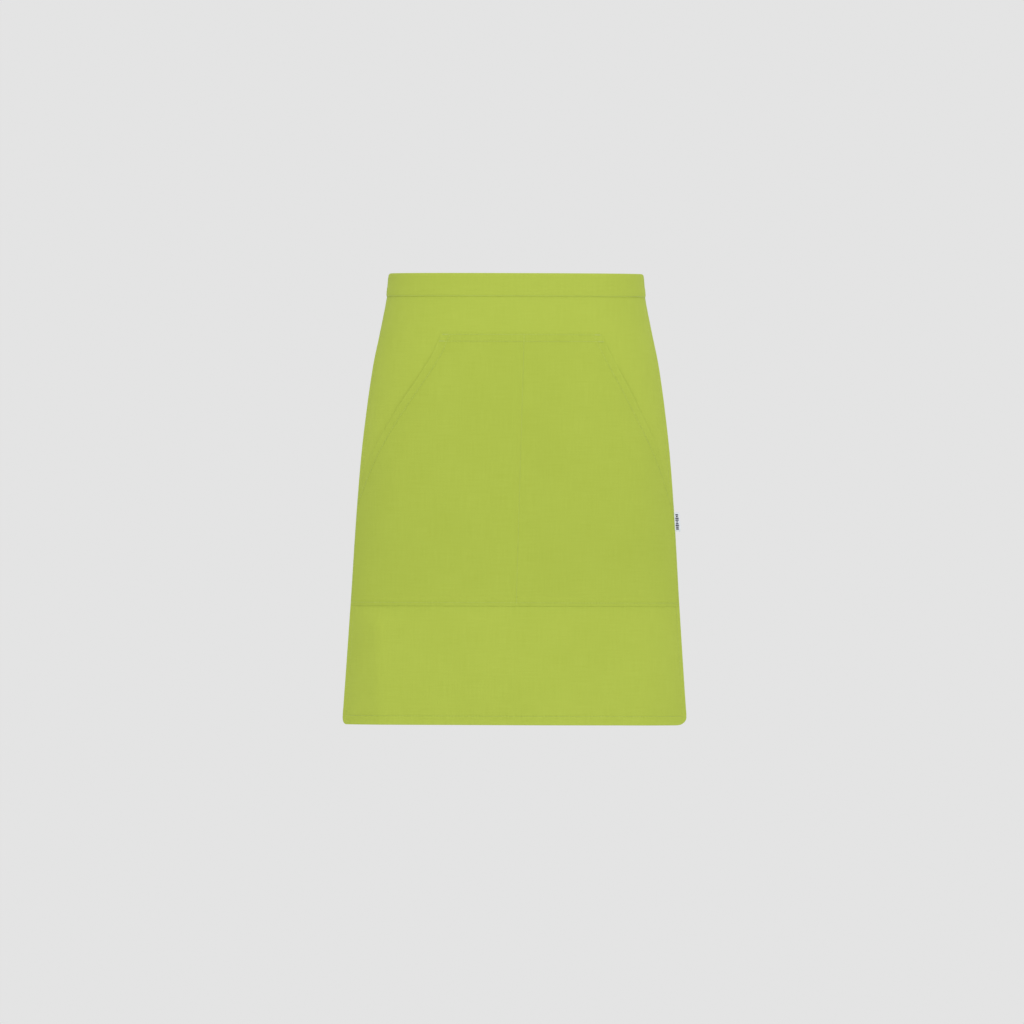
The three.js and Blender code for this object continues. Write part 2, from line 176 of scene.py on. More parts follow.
def fold_out(share, down):
    """How far the soft folds below the pocket move the cloth out."""
    drop = (down - pocket_bottom) / below_pocket
    out = np.zeros(np.broadcast(share, down).shape)
    for f in folds:
        off = (share - f["across"] - f["lean"] * drop) / f["width"]
        out += f["out"] * np.exp(-off * off)
    off = (share - crease["across"] - crease["lean"] * drop) / crease["width"]
    ridge = crease["out"] * np.exp(crease["round"] - np.hypot(off, crease["round"]))
    ridge = ridge * ease((1 - np.abs(share)) / crease["fade"])
    return ease(drop) * below_pocket * out + ease(drop / crease["grown"]) * ridge


def length_at(down):
    """The distance from the middle of the front to the apron's side edge."""
    return np.interp(down, np.linspace(0, apron_length, level_count), lengths)


def worn(across, down, out):
    """Points of the worn surface, for arrays of pattern coordinates."""
    across, down, out = np.broadcast_arrays(across, down, out)
    length = length_at(down)
    row = np.clip(down / apron_length, 0, 1) * (level_count - 1)
    col = np.clip(np.abs(across) / length, 0, 1) * (share_count - 1)
    i = np.minimum(row.astype(int), level_count - 2)
    j = np.minimum(col.astype(int), share_count - 2)
    f, g = row - i, col - j
    x, y, nx, ny = (
        (t[i, j] * (1 - g) + t[i, j + 1] * g) * (1 - f)
        + (t[i + 1, j] * (1 - g) + t[i + 1, j + 1] * g) * f
        for t in surface
    )
    past = np.maximum(np.abs(across) - length, 0)
    stand = out + fold_out(across / length, down)
    side = np.where(across < 0, -1.0, 1.0)
    return np.stack([side * (x - past * ny + stand * nx), y + past * nx + stand * ny, -down], -1)


def facing(across, down, out):
    """The direction that the worn surface looks in."""
    sideways = worn(across + normal_step, down, out) - worn(across - normal_step, down, out)
    downwards = worn(across, down + normal_step, out) - worn(across, down - normal_step, out)
    normal = np.cross(downwards, sideways)
    return normal / np.linalg.norm(normal, axis=-1, keepdims=True)


print("half the panel's width round the body in mm:",
      [round(float(length_at(h)) / mm) for h in (0, band_height, pocket_bottom, apron_length)])

# %% [markdown]
# ## Building cloth
#
# Cloth has two faces and a thin edge. Each piece is a grid of points for its front skin
# and one for its back skin, joined round the rim by a strip whose middle stands out a
# little, so that folded edges look round. The grid's own pattern coordinates become the
# UV map, in metres, so that the weave runs with the threads wherever the cloth goes.

# %% From grids to closed cloth
rim_out = 0.35
patterns = {}


def closed_cloth(name, front, back, pattern, wear=None, pull=None):
    """A closed piece of cloth from two grids of points, rows from the top down."""
    rows, cols = front.shape[:2]
    index = np.arange(rows * cols).reshape(rows, cols)
    tl, tr = index[:-1, :-1].ravel(), index[:-1, 1:].ravel()
    bl, br = index[1:, :-1].ravel(), index[1:, 1:].ravel()
    front_faces = np.stack([tl, bl, br, tr], 1)
    back_faces = np.stack([tl, tr, br, bl], 1) + rows * cols
    loop = np.concatenate([index[:-1, 0], index[-1, :-1], index[:0:-1, -1], index[0, :0:-1]])
    inner = np.concatenate([index[:-1, 1], index[-2, :-1], index[:0:-1, -2], index[1, :0:-1]])
    flat_front, flat_back = front.reshape(-1, 3), back.reshape(-1, 3)
    away = flat_front[loop] - flat_front[inner]
    away /= np.linalg.norm(away, axis=1, keepdims=True) + 1e-12
    thick = np.linalg.norm(flat_front[loop] - flat_back[loop], axis=1, keepdims=True)
    rim = (flat_front[loop] + flat_back[loop]) / 2 + away * thick * rim_out
    middle = 2 * rows * cols + np.arange(len(loop))
    after, middle_after = np.roll(loop, -1), np.roll(middle, -1)
    rim_faces = np.concatenate([
        np.stack([after, loop, middle, middle_after], 1),
        np.stack([middle_after, middle, loop + rows * cols, after + rows * cols], 1),
    ])
    points = np.concatenate([flat_front, flat_back, rim])
    faces = np.concatenate([front_faces, back_faces, rim_faces]).tolist()
    flat_pattern = pattern.reshape(-1, 2)
    uv = np.concatenate([flat_pattern, flat_pattern, flat_pattern[loop]])
    worn_down, pulled = (np.zeros(rows * cols) if v is None else v.ravel() for v in (wear, pull))
    worn_down = np.concatenate([worn_down, worn_down, worn_down[loop]])
    pulled = np.concatenate([pulled, pulled, pulled[loop]])
    pulled = np.stack([pulled, pulled * 0, pulled * 0], 1)
    return mesh_piece(name, points, faces, uv, worn_down, pulled)


def mesh_piece(name, points, faces, uv, wear, pull):
    """A smooth mesh object: the pattern is its UV map, wear and pull are attributes."""
    mesh = bpy.data.meshes.new(name)
    mesh.from_pydata(points.tolist(), [], faces)
    corners = np.empty(len(mesh.loops), dtype=np.int32)
    mesh.loops.foreach_get("vertex_index", corners)
    mesh.uv_layers.new(name="pattern").data.foreach_set("uv", uv[corners].ravel())
    mesh.attributes.new("wear", "FLOAT", "POINT").data.foreach_set("value", wear)
    mesh.attributes.new("pull", "FLOAT_VECTOR", "POINT").data.foreach_set("vector", pull.ravel())
    mesh.polygons.foreach_set("use_smooth", np.ones(len(mesh.polygons), dtype=bool))
    mesh.update()
    piece = bpy.data.objects.new(name, mesh)
    bpy.context.scene.collection.objects.link(piece)
    patterns[name] = uv
    print(name, len(mesh.polygons), "faces")
    return piece


# %% Near a seam, and points close together near lines
def near_seam(off, reach=3 * mm):
    """1 on a seam, fading to 0 beside it."""
    return np.exp(-(off / reach) ** 2)


def mark_pull(piece, lines):
    """Note how near each point of a piece is to the seams across it and down it."""
    across, down = patterns[piece.name][:, 0], -patterns[piece.name][:, 1]
    pull = np.zeros((len(across), 3))
    for line_across, line_down in lines:
        line = np.stack(np.broadcast_arrays(line_across, line_down))
        runs_down = int(np.ptp(line[1]) > np.ptp(line[0]))
        runs, off = (down, across) if runs_down else (across, down)
        line = line[:, np.argsort(line[runs_down])]
        to_line = off - np.interp(runs, line[runs_down], line[1 - runs_down])
        past = np.maximum(np.maximum(line[runs_down, 0] - runs, runs - line[runs_down, -1]), 0)
        run = np.ptp(line, axis=1)
        slant = run[runs_down] / np.hypot(*run)
        near = near_seam(np.hypot(to_line * slant, past))
        pull[:, runs_down] = np.maximum(pull[:, runs_down], near)
    piece.data.attributes["pull"].data.foreach_set("vector", pull.ravel())


def spread(start, end, lines, wide, close, reach):
    """Places from start to end, close together near the given lines."""
    at = [start]
    while at[-1] < end - close / 2:
        gap = min((abs(at[-1] - line) for line in lines), default=10 * reach)
        at.append(at[-1] + close + (wide - close) * float(ease((gap - reach) / (3 * reach))))
    at = np.array(at)
    return start + (at - start) * (end - start) / (at[-1] - start)


# %% [markdown]
# ## Small movements in the cloth
#
# New cloth is never quite flat. Two things move it: broad, soft swells where it hangs
# free, and puckers, the short ripples that run across a seam because the thread is a
# little tighter than the cloth. Both come from sums of sine waves with fixed numbers, so
# that they are the same each time, and both moves are given to the front and back skins
# together. A seam's puckers have a height, a reach to each side, a place where its waves
# start, and the depth of the groove that the thread pulls.

# %% Swells and puckers
swell_height = 0.9 * mm
free_below_band = 60 * mm
pucker_lean = 0.35
groove_reach = 0.7 * mm
puckers = {
    "side hem": {"height": 0.16 * mm, "reach": 8 * mm, "stitch_pull": 0.14 * mm},
    "bottom hem": {"height": 0.26 * mm, "reach": 9 * mm, "stitch_pull": 0.2 * mm},
    "below band": {"height": 0.22 * mm, "reach": 14 * mm, "shift": 57 * mm},
    "below pocket": {"height": 0.2 * mm, "reach": 12 * mm, "shift": 12 * mm},
    "band": {"height": 0.17 * mm, "reach": 7 * mm, "stitch_pull": 0.02 * mm},
    "pocket top": {"height": 0.2 * mm, "reach": 6 * mm, "shift": 23 * mm,
                   "stitch_pull": 0.03 * mm},
    "mouth": {"height": 0.16 * mm, "reach": 6 * mm},
    "pocket side": {"height": 0.22 * mm, "reach": 9 * mm, "stitch_pull": 0.12 * mm},
    "pocket bottom": {"height": 0.24 * mm, "reach": 10 * mm, "stitch_pull": 0.04 * mm},
    "divide": {"height": 0.2 * mm, "reach": 9 * mm, "shift": 41 * mm},
}
rng = np.random.default_rng(7)
swell_waves = [
    {"across": rng.uniform(-26, 26), "down": rng.uniform(-16, 16), "start": rng.uniform(0, 6.28)}
    for _ in range(9)
]
pucker_waves = [
    {"pitch": pitch * mm, "start": rng.uniform(0, 6.28), "size": size}
    for pitch, size in ((5.3, 0.6), (7.9, 1.0), (11.7, 0.9), (17.3, 0.8))
]


def swell(across, down, height):
    """Broad soft unevenness, as a distance out."""
    out = sum(np.sin(w["across"] * across + w["down"] * down + w["start"]) for w in swell_waves)
    return height * out / len(swell_waves)


def hangs_free(down):
    """0 at the waistband, which holds the cloth, and 1 where it hangs free."""
    return ease((down - band_height) / free_below_band)


def pucker(along, off, height, reach, stitch_pull=0.0, shift=0.0):
    """Ripples along a seam: along it, and off to its side, as a distance out."""
    place = along + shift + off * pucker_lean
    ripple = sum(w["size"] * np.sin(2 * math.pi * place / w["pitch"] + w["start"])
                 for w in pucker_waves) / len(pucker_waves)
    fade = np.exp(-(off / reach) ** 2)
    groove = np.exp(-(off / groove_reach) ** 2)
    return height * ripple * fade - stitch_pull * groove


print(len(swell_waves), "swells,", len(pucker_waves), "pucker waves,", len(puckers), "seams")


# %% [markdown]
# ## The front panel
#
# One shaped piece, cut wider at the hem than at the waist. Its sides and bottom edge are
# turned twice to the inside and stitched, which makes those margins three layers thick.
# The extra layers show on the inside as a step, and on the outside only as a stitched
# line with faint puckers. The top edge hides inside the waistband.

# %% Make the panel
corners = {-1: {"width": 8.5 * mm, "height": 8.5 * mm}, 1: {"width": 21 * mm, "height": 9 * mm}}
panel_start = 3 * mm
hem_layers = 2.2 * cloth
hem_relief = 0.3 * mm
hem_shift = 31 * mm
side_stitch = side_hem - 1.3 * mm
bottom_stitch = bottom_hem - 1.0 * mm
edge_wear = 1.5 * mm


def panel_relief(across, down):
    """How far the panel's cloth moves out: swells, hems, and the pull of its seams."""
    inset = length_at(down) - np.abs(across)
    up = apron_length - down
    in_hem = np.maximum(ease((side_stitch - inset) / (2 * mm)),
                        ease((bottom_stitch - up) / (2 * mm)))
    out = (swell(across, down, swell_height) + hem_relief * in_hem) * hangs_free(down)
    out += pucker(down, inset - side_stitch, shift=np.sign(across) * hem_shift,
                  **puckers["side hem"])
    out += pucker(across, up - bottom_stitch, **puckers["bottom hem"])
    below_band = down - band_height
    out += pucker(across, below_band, **puckers["below band"]) * (below_band > 0)
    below_seam = down - pocket_bottom
    out += pucker(across, below_seam, **puckers["below pocket"]) * (below_seam > 0)
    return out


def panel_front(across, down):
    """How far out the panel's outer face lies."""
    return cloth / 2 + panel_relief(across, down)


def make_panel():
    """Columns close together at the side hems, rows at the seams, round lower corners."""
    half = float(length_at(apron_length))
    sides = {}
    for side, corner in corners.items():
        edge = corner["width"] * (1 - np.cos(np.linspace(0, math.pi / 2, 13)))
        rest = spread(edge[-1] + 0.5 * mm, half, [side_stitch, side_hem],
                      wide=2.7 * mm, close=0.8 * mm, reach=1.5 * mm)
        inset = np.concatenate([edge, rest])
        into = np.maximum(1 - inset / corner["width"], 0)
        rise = corner["height"] * (1 - np.sqrt(1 - into**2))
        sides[side] = (1 - inset / half, rise)
    share = np.concatenate([-sides[-1][0], sides[1][0][-2::-1]])
    bottom = apron_length - np.concatenate([sides[-1][1], sides[1][1][-2::-1]])
    seams = [band_height, pocket_bottom, apron_length - bottom_stitch, apron_length]
    down = spread(panel_start, apron_length, seams, wide=3.1 * mm, close=0.6 * mm,
                  reach=1.5 * mm)
    t = (down - panel_start) / (apron_length - panel_start)
    down = panel_start + t[:, None] * (bottom - panel_start)
    across = share * length_at(down)
    inset = length_at(down) - np.abs(across)
    in_hem = np.maximum(ease((side_hem - inset) / mm), ease((down - bottom + bottom_hem) / mm))
    in_hem *= down > band_height
    relief = panel_relief(across, down)
    front = worn(across, down, cloth / 2 + relief)
    back = worn(across, down, relief - cloth / 2 - hem_layers * in_hem)
    pattern = np.stack([across, -down], -1)
    wear = np.exp(-inset / edge_wear) + np.exp((down - bottom) / edge_wear)
    return closed_cloth("front_panel_cloth", front, back, pattern, np.clip(wear, 0, 1))


panel = make_panel()

# %% [markdown]
# ## The waistband
#
# A strip folded over the panel's raw top edge. Its lower edges are turned under and one
# row of stitches, close to the fold, holds front and back at once. The iron and the
# stitches press the lower edge thin, but it still stands a little proud of the panel and
# throws a thin shadow. Towards its ends the top fold dips a little, to meet the narrower
# ties.

# %% Make the waistband
band_layers = 1.8 * cloth
band_lining = 0.9 * cloth
fold_round = 1.2 * mm
band_turning = 11 * mm
band_stitch = band_height - 0.9 * mm
band_dip = {"depth": 2.6 * mm, "reach": 32 * mm}
band_thin = 0.62
band_pressed = {"thickness": 0.59, "ripple": 0.25, "reach": 2.6 * mm}
band_swell = {"height": 0.3 * mm, "finer": 2.2, "reach": 6 * mm}


def from_least(least, share):
    """From a least share up to 1, along another share."""
    return least + (1 - least) * share


def band_front(across, down):
    """How far out the band's front lies: least at its lower edge, which is pressed."""
    low = band_height - down
    unpressed = ease(low / band_pressed["reach"])
    full = band_layers * from_least(band_thin, ease((band_turning - low) / (3 * mm)))
    full = full * from_least(band_pressed["thickness"], unpressed)
    ripple = pucker(across, down - band_stitch, **puckers["band"])
    ripple = ripple + (swell(across * band_swell["finer"], down, band_swell["height"])
                       * ease(low / band_swell["reach"]))
    return full + ripple * ease(down / (4 * mm)) * from_least(band_pressed["ripple"], unpressed)


def make_band():
    """Rows run up the front, over the top fold and down the back."""
    half = float(length_at(0))
    share = 1 - spread(0, half, [0.0], wide=2.6 * mm, close=1.0 * mm, reach=3 * mm) / half
    share = np.concatenate([-share, share[-2::-1]])
    rise = spread(0, band_height - fold_round, [1 * mm], wide=2.2 * mm, close=0.5 * mm,
                  reach=2 * mm)
    turn = np.linspace(math.pi, 0, 13)[1:-1]
    straight = band_height - rise
    none = np.zeros(len(rise))
    down = np.concatenate([straight, fold_round * (1 - np.sin(turn)), straight[::-1]])[:, None]
    side = np.concatenate([none - 1, np.cos(turn), none + 1])[:, None]
    over = np.concatenate([none, np.sin(turn), none])[:, None]
    inset = half * (1 - np.abs(share))
    dip = band_dip["depth"] * np.clip(1 - inset / band_dip["reach"], 0, 1) ** 2
    down = dip + down * (1 - dip / band_height)
    across = share * length_at(down)
    skin = worn(across, down, side * band_front(across, down))
    lining = worn(across, down + over * (band_layers - band_lining), side * band_lining)
    middle = down.shape[1] // 2
    flow = np.hypot(np.diff(down[:, middle]), np.diff(side[:, 0]) * band_layers)
    flow = np.concatenate([[0], np.cumsum(flow)])[:, None]
    pattern = np.stack(np.broadcast_arrays(across, -flow), -1)
    # Paler at the top fold from wear; along the lower edge the paleness is partly wear and
    # partly painted light that lightens the thin shadow there.
    wear = np.exp(-down / (1.2 * mm)) + 0.7 * np.exp((down - band_height) / (0.8 * mm))
    wear = np.clip(np.broadcast_to(wear, across.shape), 0, 1)
    return closed_cloth("waistband_cloth", skin, lining, pattern, wear)


band = make_band()

# %% [markdown]
# ## The pocket
#
# One wide piece makes two pockets: it is sewn along its top, down both sides below the
# mouths, along the bottom and down the middle. The slanting mouths stay open, and their
# turned edges lie loose, so they stand a few millimetres off the panel and ripple a
# little. A grid whose columns fan out from the top edge to the bottom follows that shape:
# each column starts on the pocket's upper outline, straight or slanting.

# %% The pocket's outline
pocket_inset = 1.5 * mm
pocket_hem = 9 * mm
mouth_rest = {"share": 0.28, "reach": 34 * mm}
pocket_seat = 0.15 * mm
pocket_hem_out = 0.22 * mm
edge_press = {"depth": 0.4 * mm, "thinner": 0.3 * mm, "reach": 2 * mm}
least_lift = 0.1 * mm
divide = {"top": 8.8 * mm, "bottom": 1.2 * mm, "sunk": 0.1 * cloth, "reach": 6 * mm}
top_stitches = [1.5 * mm, 8.6 * mm]
mouth_stitch = 8.3 * mm
seam_stitch = 2.0 * mm
bottom_seam_stitch = 3.7 * mm
mouth_bow = {"grown": 0.15, "kept": 0.2, "fades": 0.45}
mouth_wave = {"height": 0.35 * mm, "pitch": 9.5 * mm, "reach": 22 * mm}
mouths = {
    -1: {"corner": 79 * mm, "height": 170 * mm, "curl": 0.3 * mm, "bow": 4 * mm,
         "groove": 0.02 * mm, "gape": 4.4 * mm},
    1: {"corner": 91 * mm, "height": 177 * mm, "curl": 0.7 * mm, "bow": 0.4 * mm,
        "groove": 0.25 * mm, "gape": 6.4 * mm},
}
for mouth in mouths.values():
    mouth["end"] = pocket_top + mouth["height"]
    mouth["seam"] = float(length_at(mouth["end"])) - pocket_inset
    run = mouth["seam"] - mouth["corner"]
    mouth["slant"] = mouth["height"] / math.hypot(run, mouth["height"])
print("the mouths end at", [round(mouth["end"] / mm) for mouth in mouths.values()], "mm down")


def of_side(across, key):
    """A value of the left or the right mouth, for each point."""
    return np.where(across < 0, mouths[-1][key], mouths[1][key])


def divide_at(down):
    """How far from the middle the line between the two pockets lies at a height."""
    share = (down - pocket_top) / (pocket_bottom - pocket_top)
    return divide["top"] + (divide["bottom"] - divide["top"]) * share


def mouth_line(across, down):
    """The distance from the middle to the mouth's slanting edge at a height."""
    share = np.clip((down - pocket_top) / of_side(across, "height"), 0, 1)
    corner = of_side(across, "corner")
    bow = of_side(across, "bow") * ease(share / mouth_bow["grown"])
    bow = bow * (1 - ease((share - mouth_bow["kept"]) / mouth_bow["fades"]))
    return corner + (of_side(across, "seam") - corner) * share - bow


def from_edges(across, down):
    """Distances from a point to the top edge, the mouth, the side seam and the bottom."""
    far = np.abs(across)
    top = down - pocket_top
    mouth = (mouth_line(across, down) - far) * of_side(across, "slant")
    mouth = np.where(down < of_side(across, "end"), mouth, 1.0)
    side = length_at(down) - pocket_inset - far
    return top, mouth, side, pocket_bottom - down


# %% How the pocket stands out
gape_reach = {"side": 55 * mm, "top": 60 * mm, "divide": 50 * mm, "bottom": 100 * mm}


def pocket_gap(across, down):
    """How far the loose cloth stands off the panel."""
    far = np.abs(across)
    seam = length_at(down) - pocket_inset - side_hem
    below_mouth = np.maximum(of_side(across, "end") - down, 0)
    beside_top = np.maximum(far - of_side(across, "corner"), 0)
    to_side = np.hypot(np.maximum(seam - far, 0), below_mouth)
    to_top = np.hypot(beside_top, np.maximum(down - pocket_top - pocket_hem, 0))
    gap = of_side(across, "gape") * ease(to_side / gape_reach["side"])
    gap *= ease(to_top / gape_reach["top"])
    gap *= ease(np.abs(across - divide_at(down)) / gape_reach["divide"])
    mouth = (mouth_line(across, down) - far) * of_side(across, "slant")
    lies_back = 1 - ease(mouth / mouth_rest["reach"])
    gap *= 1 - (1 - mouth_rest["share"]) * lies_back
    return gap * ease((pocket_bottom - pocket_hem - down) / gape_reach["bottom"])


def pocket_front(across, down):
    """How far out the pocket's outer face lies."""
    top, mouth, side, bottom = from_edges(across, down)
    edge = np.minimum(np.minimum(top, mouth), np.minimum(side, bottom))
    hem = ease((pocket_hem - edge) / mm)
    gap = pocket_gap(across, down)
    loose = ease(gap / mm)
    along_mouth = (down - pocket_top) / of_side(across, "slant")
    curl = of_side(across, "curl") * ease((pocket_hem + 3 * mm - mouth) / pocket_hem)
    wave = np.sin(along_mouth / mouth_wave["pitch"] + np.sign(across))
    wave = wave * np.exp(-mouth / mouth_wave["reach"])
    out = cloth / 2 + pocket_seat + cloth + pocket_hem_out * hem + gap
    out -= edge_press["depth"] * pressed(top, side, bottom)
    out += loose * (mouth_wave["height"] * wave - curl)
    out += swell(across, down, swell_height) * hangs_free(down)
    over_top = ease((of_side(across, "corner") - np.abs(across)) / (3 * mm))
    for row in top_stitches:
        out += pucker(across, top - row, **puckers["pocket top"]) * over_top
    out += pucker(along_mouth, mouth - mouth_stitch, **puckers["mouth"],
                  stitch_pull=of_side(across, "groove"))
    sewn_side = ease((down - of_side(across, "end")) / (6 * mm))
    out += pucker(down, side - seam_stitch, **puckers["pocket side"]) * sewn_side
    out += pucker(across, bottom - bottom_seam_stitch, **puckers["pocket bottom"])
    off_divide = across - divide_at(down)
    out += pucker(down, off_divide, **puckers["divide"])
    out -= divide["sunk"] * np.exp(-(off_divide / divide["reach"]) ** 2) * (1 - hem)
    return np.maximum(out, panel_front(across, down) + least_lift)


def pressed(top, side, bottom):
    """1 at an edge that is sewn down and pressed thin, and 0 inside it."""
    edge = np.minimum(np.minimum(top, side), bottom)
    return 1 - ease(edge / edge_press["reach"])


# %% Make the pocket
def pocket_half(side):
    """Pattern coordinates of one half: rows from the upper outline down."""
    mouth = mouths[side]
    reach = float(length_at(pocket_top)) - pocket_inset
    middle = side * divide_at(pocket_top)
    corner = (mouth["corner"] - middle) / (reach - middle)
    low = spread(0, corner, [0.0, corner], wide=0.015, close=0.005, reach=0.012)
    high = spread(corner, 1, [corner, 1.0], wide=0.015, close=0.0045, reach=0.012)
    share = np.concatenate([low, high[1:]])[None, :]
    heights = np.linspace(pocket_top, mouth["end"], 400)

    def across_at(down, share):
        return divide_at(down) + share * (side * (length_at(down) - pocket_inset)
                                          - divide_at(down))

    start = []
    for s in share[0]:
        past = mouth_line(side, heights) - np.abs(across_at(heights, s))
        start.append(pocket_top if past[0] >= -1e-9 else np.interp(0, past, heights))
    start = np.array(start)[None, :]
    slanted = ease((share - corner) * reach / (6 * mm))
    run = 1 + slanted * (1 / math.sqrt(1 - mouth["slant"] ** 2) - 1)
    near = spread(0, 12 * mm, [], wide=0.75 * mm, close=0.75 * mm, reach=mm)[:, None]
    body = spread(0, 1, [], wide=0.0125, close=0.0125, reach=1)[1:-1, None]
    first = start + near * run
    last = np.broadcast_to(pocket_bottom - near[::-1], first.shape)
    down = np.concatenate([first, first[-1] + body * (last[0] - first[-1]), last])
    return across_at(down, share), down


def make_pocket():
    """The two halves side by side, with a turned hem all round."""
    left_across, left_down = pocket_half(-1)
    right_across, right_down = pocket_half(1)
    across = np.concatenate([left_across[:, ::-1], right_across[:, 1:]], 1)
    down = np.concatenate([left_down[:, ::-1], right_down[:, 1:]], 1)
    top, mouth, side, bottom = from_edges(across, down)
    edge = np.minimum.reduce([top, mouth, side, bottom])
    front_out = pocket_front(across, down)
    layers = cloth + pocket_hem_out * ease((pocket_hem - edge) / mm)
    layers -= edge_press["thinner"] * pressed(top, side, bottom)
    front = worn(across, down, front_out)
    back = worn(across, down, front_out - layers)
    pattern = np.stack([across, -down], -1)
    return closed_cloth("pocket_cloth", front, back, pattern, np.clip(np.exp(-edge / mm), 0, 1))


pocket = make_pocket()

# %% [markdown]
# ## Ties
#
# Each tie is a strip folded to a finished width and stitched along both long edges. It
# starts inside the end of the waistband and goes round the back to the knot, taut. Near
# the knot the cloth gathers, so the strip narrows and folds lengthways. The same builder
# makes the bow's loops and tails, which are the rest of the two ties.

# %% A folded strip along a path
stitch_lines = {"tie": [], "bow": []}
thread_lift = 0.09 * mm
tie_inset = 2.5 * mm
tie_width = band_height - 2 * tie_inset
tie_layers = 1.3 * mm
tie_stitch = 1.8 * mm
strip_rows = 15
strip_dent = {"depth": 0.12 * mm, "width": 0.8 * mm}
strip_ripple = {"height": 0.1 * mm, "pitch": 1.3 * mm, "lean": 3, "reach": 3 * mm}
strip_wear = 0.8 * mm


def path_length(points):
    """The distance along a path at each of its points."""
    return np.concatenate([[0], np.cumsum(np.linalg.norm(np.diff(points, axis=0), axis=1))])


def strip_cloth(name, middle, across, width, gather, thin=1.0, closed_end=False):
    """A strip of cloth: its middle line, its direction across, its width, its gathers."""
    onward = np.gradient(middle, axis=0)
    onward /= np.linalg.norm(onward, axis=1, keepdims=True)
    across = across / np.linalg.norm(across, axis=1, keepdims=True)
    out = np.cross(onward, across)
    along = path_length(middle)
    w = np.sin(np.linspace(-math.pi / 2, math.pi / 2, strip_rows))[::-1, None]
    folded = gather * (np.cos(3.2 * math.pi * w) * 0.6 + 0.4 * np.cos(1.1 * math.pi * w))
    edge = (1 - np.abs(w)) * width / 2
    dent = np.exp(-((edge - tie_stitch) / strip_dent["width"]) ** 2)
    dent = -strip_dent["depth"] * dent * thin
    ripple = np.sin(along / strip_ripple["pitch"] + strip_ripple["lean"] * w)
    ripple = strip_ripple["height"] * ripple * np.exp(-edge / strip_ripple["reach"]) * thin
    half = tie_layers / 2 * (1 - 0.25 * np.abs(w) ** 6) * thin
    centre = middle[None] + across[None] * (w * width / 2)[..., None]
    front = centre + out[None] * (folded + ripple + half + dent)[..., None]
    back = centre + out[None] * (folded + ripple - half - dent)[..., None]
    lines = stitch_lines[name.split("_")[0]]
    for skin, looks in ((front, out), (back, -out)):
        for near_edge in (2, strip_rows - 3):
            lines.append((skin[near_edge] + thread_lift * looks, looks))
        if closed_end:
            row = skin[2:-2, -4] + thread_lift * looks[-4]
            lines.append((row, np.repeat(looks[-4:-3], len(row), axis=0)))
    pattern = np.stack(np.broadcast_arrays(along[None], w * width / 2), -1)
    wear = np.clip(np.exp(-edge / strip_wear), 0, 1)
    pull = near_seam(edge - tie_stitch) * thin
    return closed_cloth(name, front, back, pattern, wear, pull)


# %% The ring of the ties round the back
back_depth = 98 * mm
back_square = 2.2
tie_gather = {"from": 0.82, "narrower": 0.3, "height": 1.1 * mm}
knot_low, knot_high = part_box("bow_knot")
knot_middle = np.array((knot_low + knot_high) / 2)
knot_size = np.array(knot_high - knot_low)


def back_ring(side, down):
    """A line along one tie at one height, from inside the band to the knot."""
    x, y, along = level_curve(down)
    start = np.searchsorted(along, along[-1] - side_hem + 0.4 * mm)
    half = x[-1]
    a = np.linspace(math.pi / 2, 0, 400)[1:]
    back_x = half * np.sin(a) ** (2 / back_square)
    back_y = back_depth * np.cos(a) ** (2 / back_square)
    keep = back_x > knot_size[0] / 2 - 3 * mm
    x = np.concatenate([x[start:], back_x[keep]])
    y = np.concatenate([y[start:], back_y[keep]])
    along = np.concatenate([[0], np.cumsum(np.hypot(np.diff(x), np.diff(y)))])
    even = np.linspace(0, along[-1], 90)
    x, y = np.interp(even, along, x), np.interp(even, along, y)
    return np.stack([side * x, y, np.full(len(even), -down)], 1)


def make_tie(side, name):
    """A taut tie, pressed thin inside the band and gathered at the knot."""
    upper, lower = (back_ring(side, down) for down in (tie_inset, tie_inset + tie_width))
    middle = (upper + lower) / 2
    t = np.linspace(0, 1, len(middle))
    near = ease((t - tie_gather["from"]) / (1 - tie_gather["from"]))
    thin = 0.5 + 0.5 * ease((path_length(middle) - side_hem) / (5 * mm))
    width = tie_width * (1 - tie_gather["narrower"] * near)
    parts = [middle, upper - lower, width, tie_gather["height"] * near, thin]
    if side < 0:
        parts = [part[::-1] for part in parts]
    return strip_cloth(name, *parts)


tie_left = make_tie(-1, "tie_left_cloth")
tie_right = make_tie(1, "tie_right_cloth")

# %% [markdown]
# ## The bow
#
# The two ties cross, and one wraps round the other to make the knot. Its wrap is one
# turn of gathered cloth, so creases run over it in the direction of the wrap and its
# sides pull in where the loops come out. The loops are teardrops that droop under their
# own weight, gathered at the knot and flat at the tip, and the tails hang free.

# %% Make the knot
knot_cloth = 1 * mm
knot_square = 2.6
knot_ends = 0.3
knot_swelling = 0.5 * mm
knot_creases = [
    {"place": -0.55, "depth": 0.9 * mm, "slip": 0.16},
    {"place": -0.12, "depth": 1.2 * mm, "slip": -0.2},
    {"place": 0.3, "depth": 1.0 * mm, "slip": 0.24},
    {"place": 0.68, "depth": 0.7 * mm, "slip": -0.1},
]
crease_width = 0.075


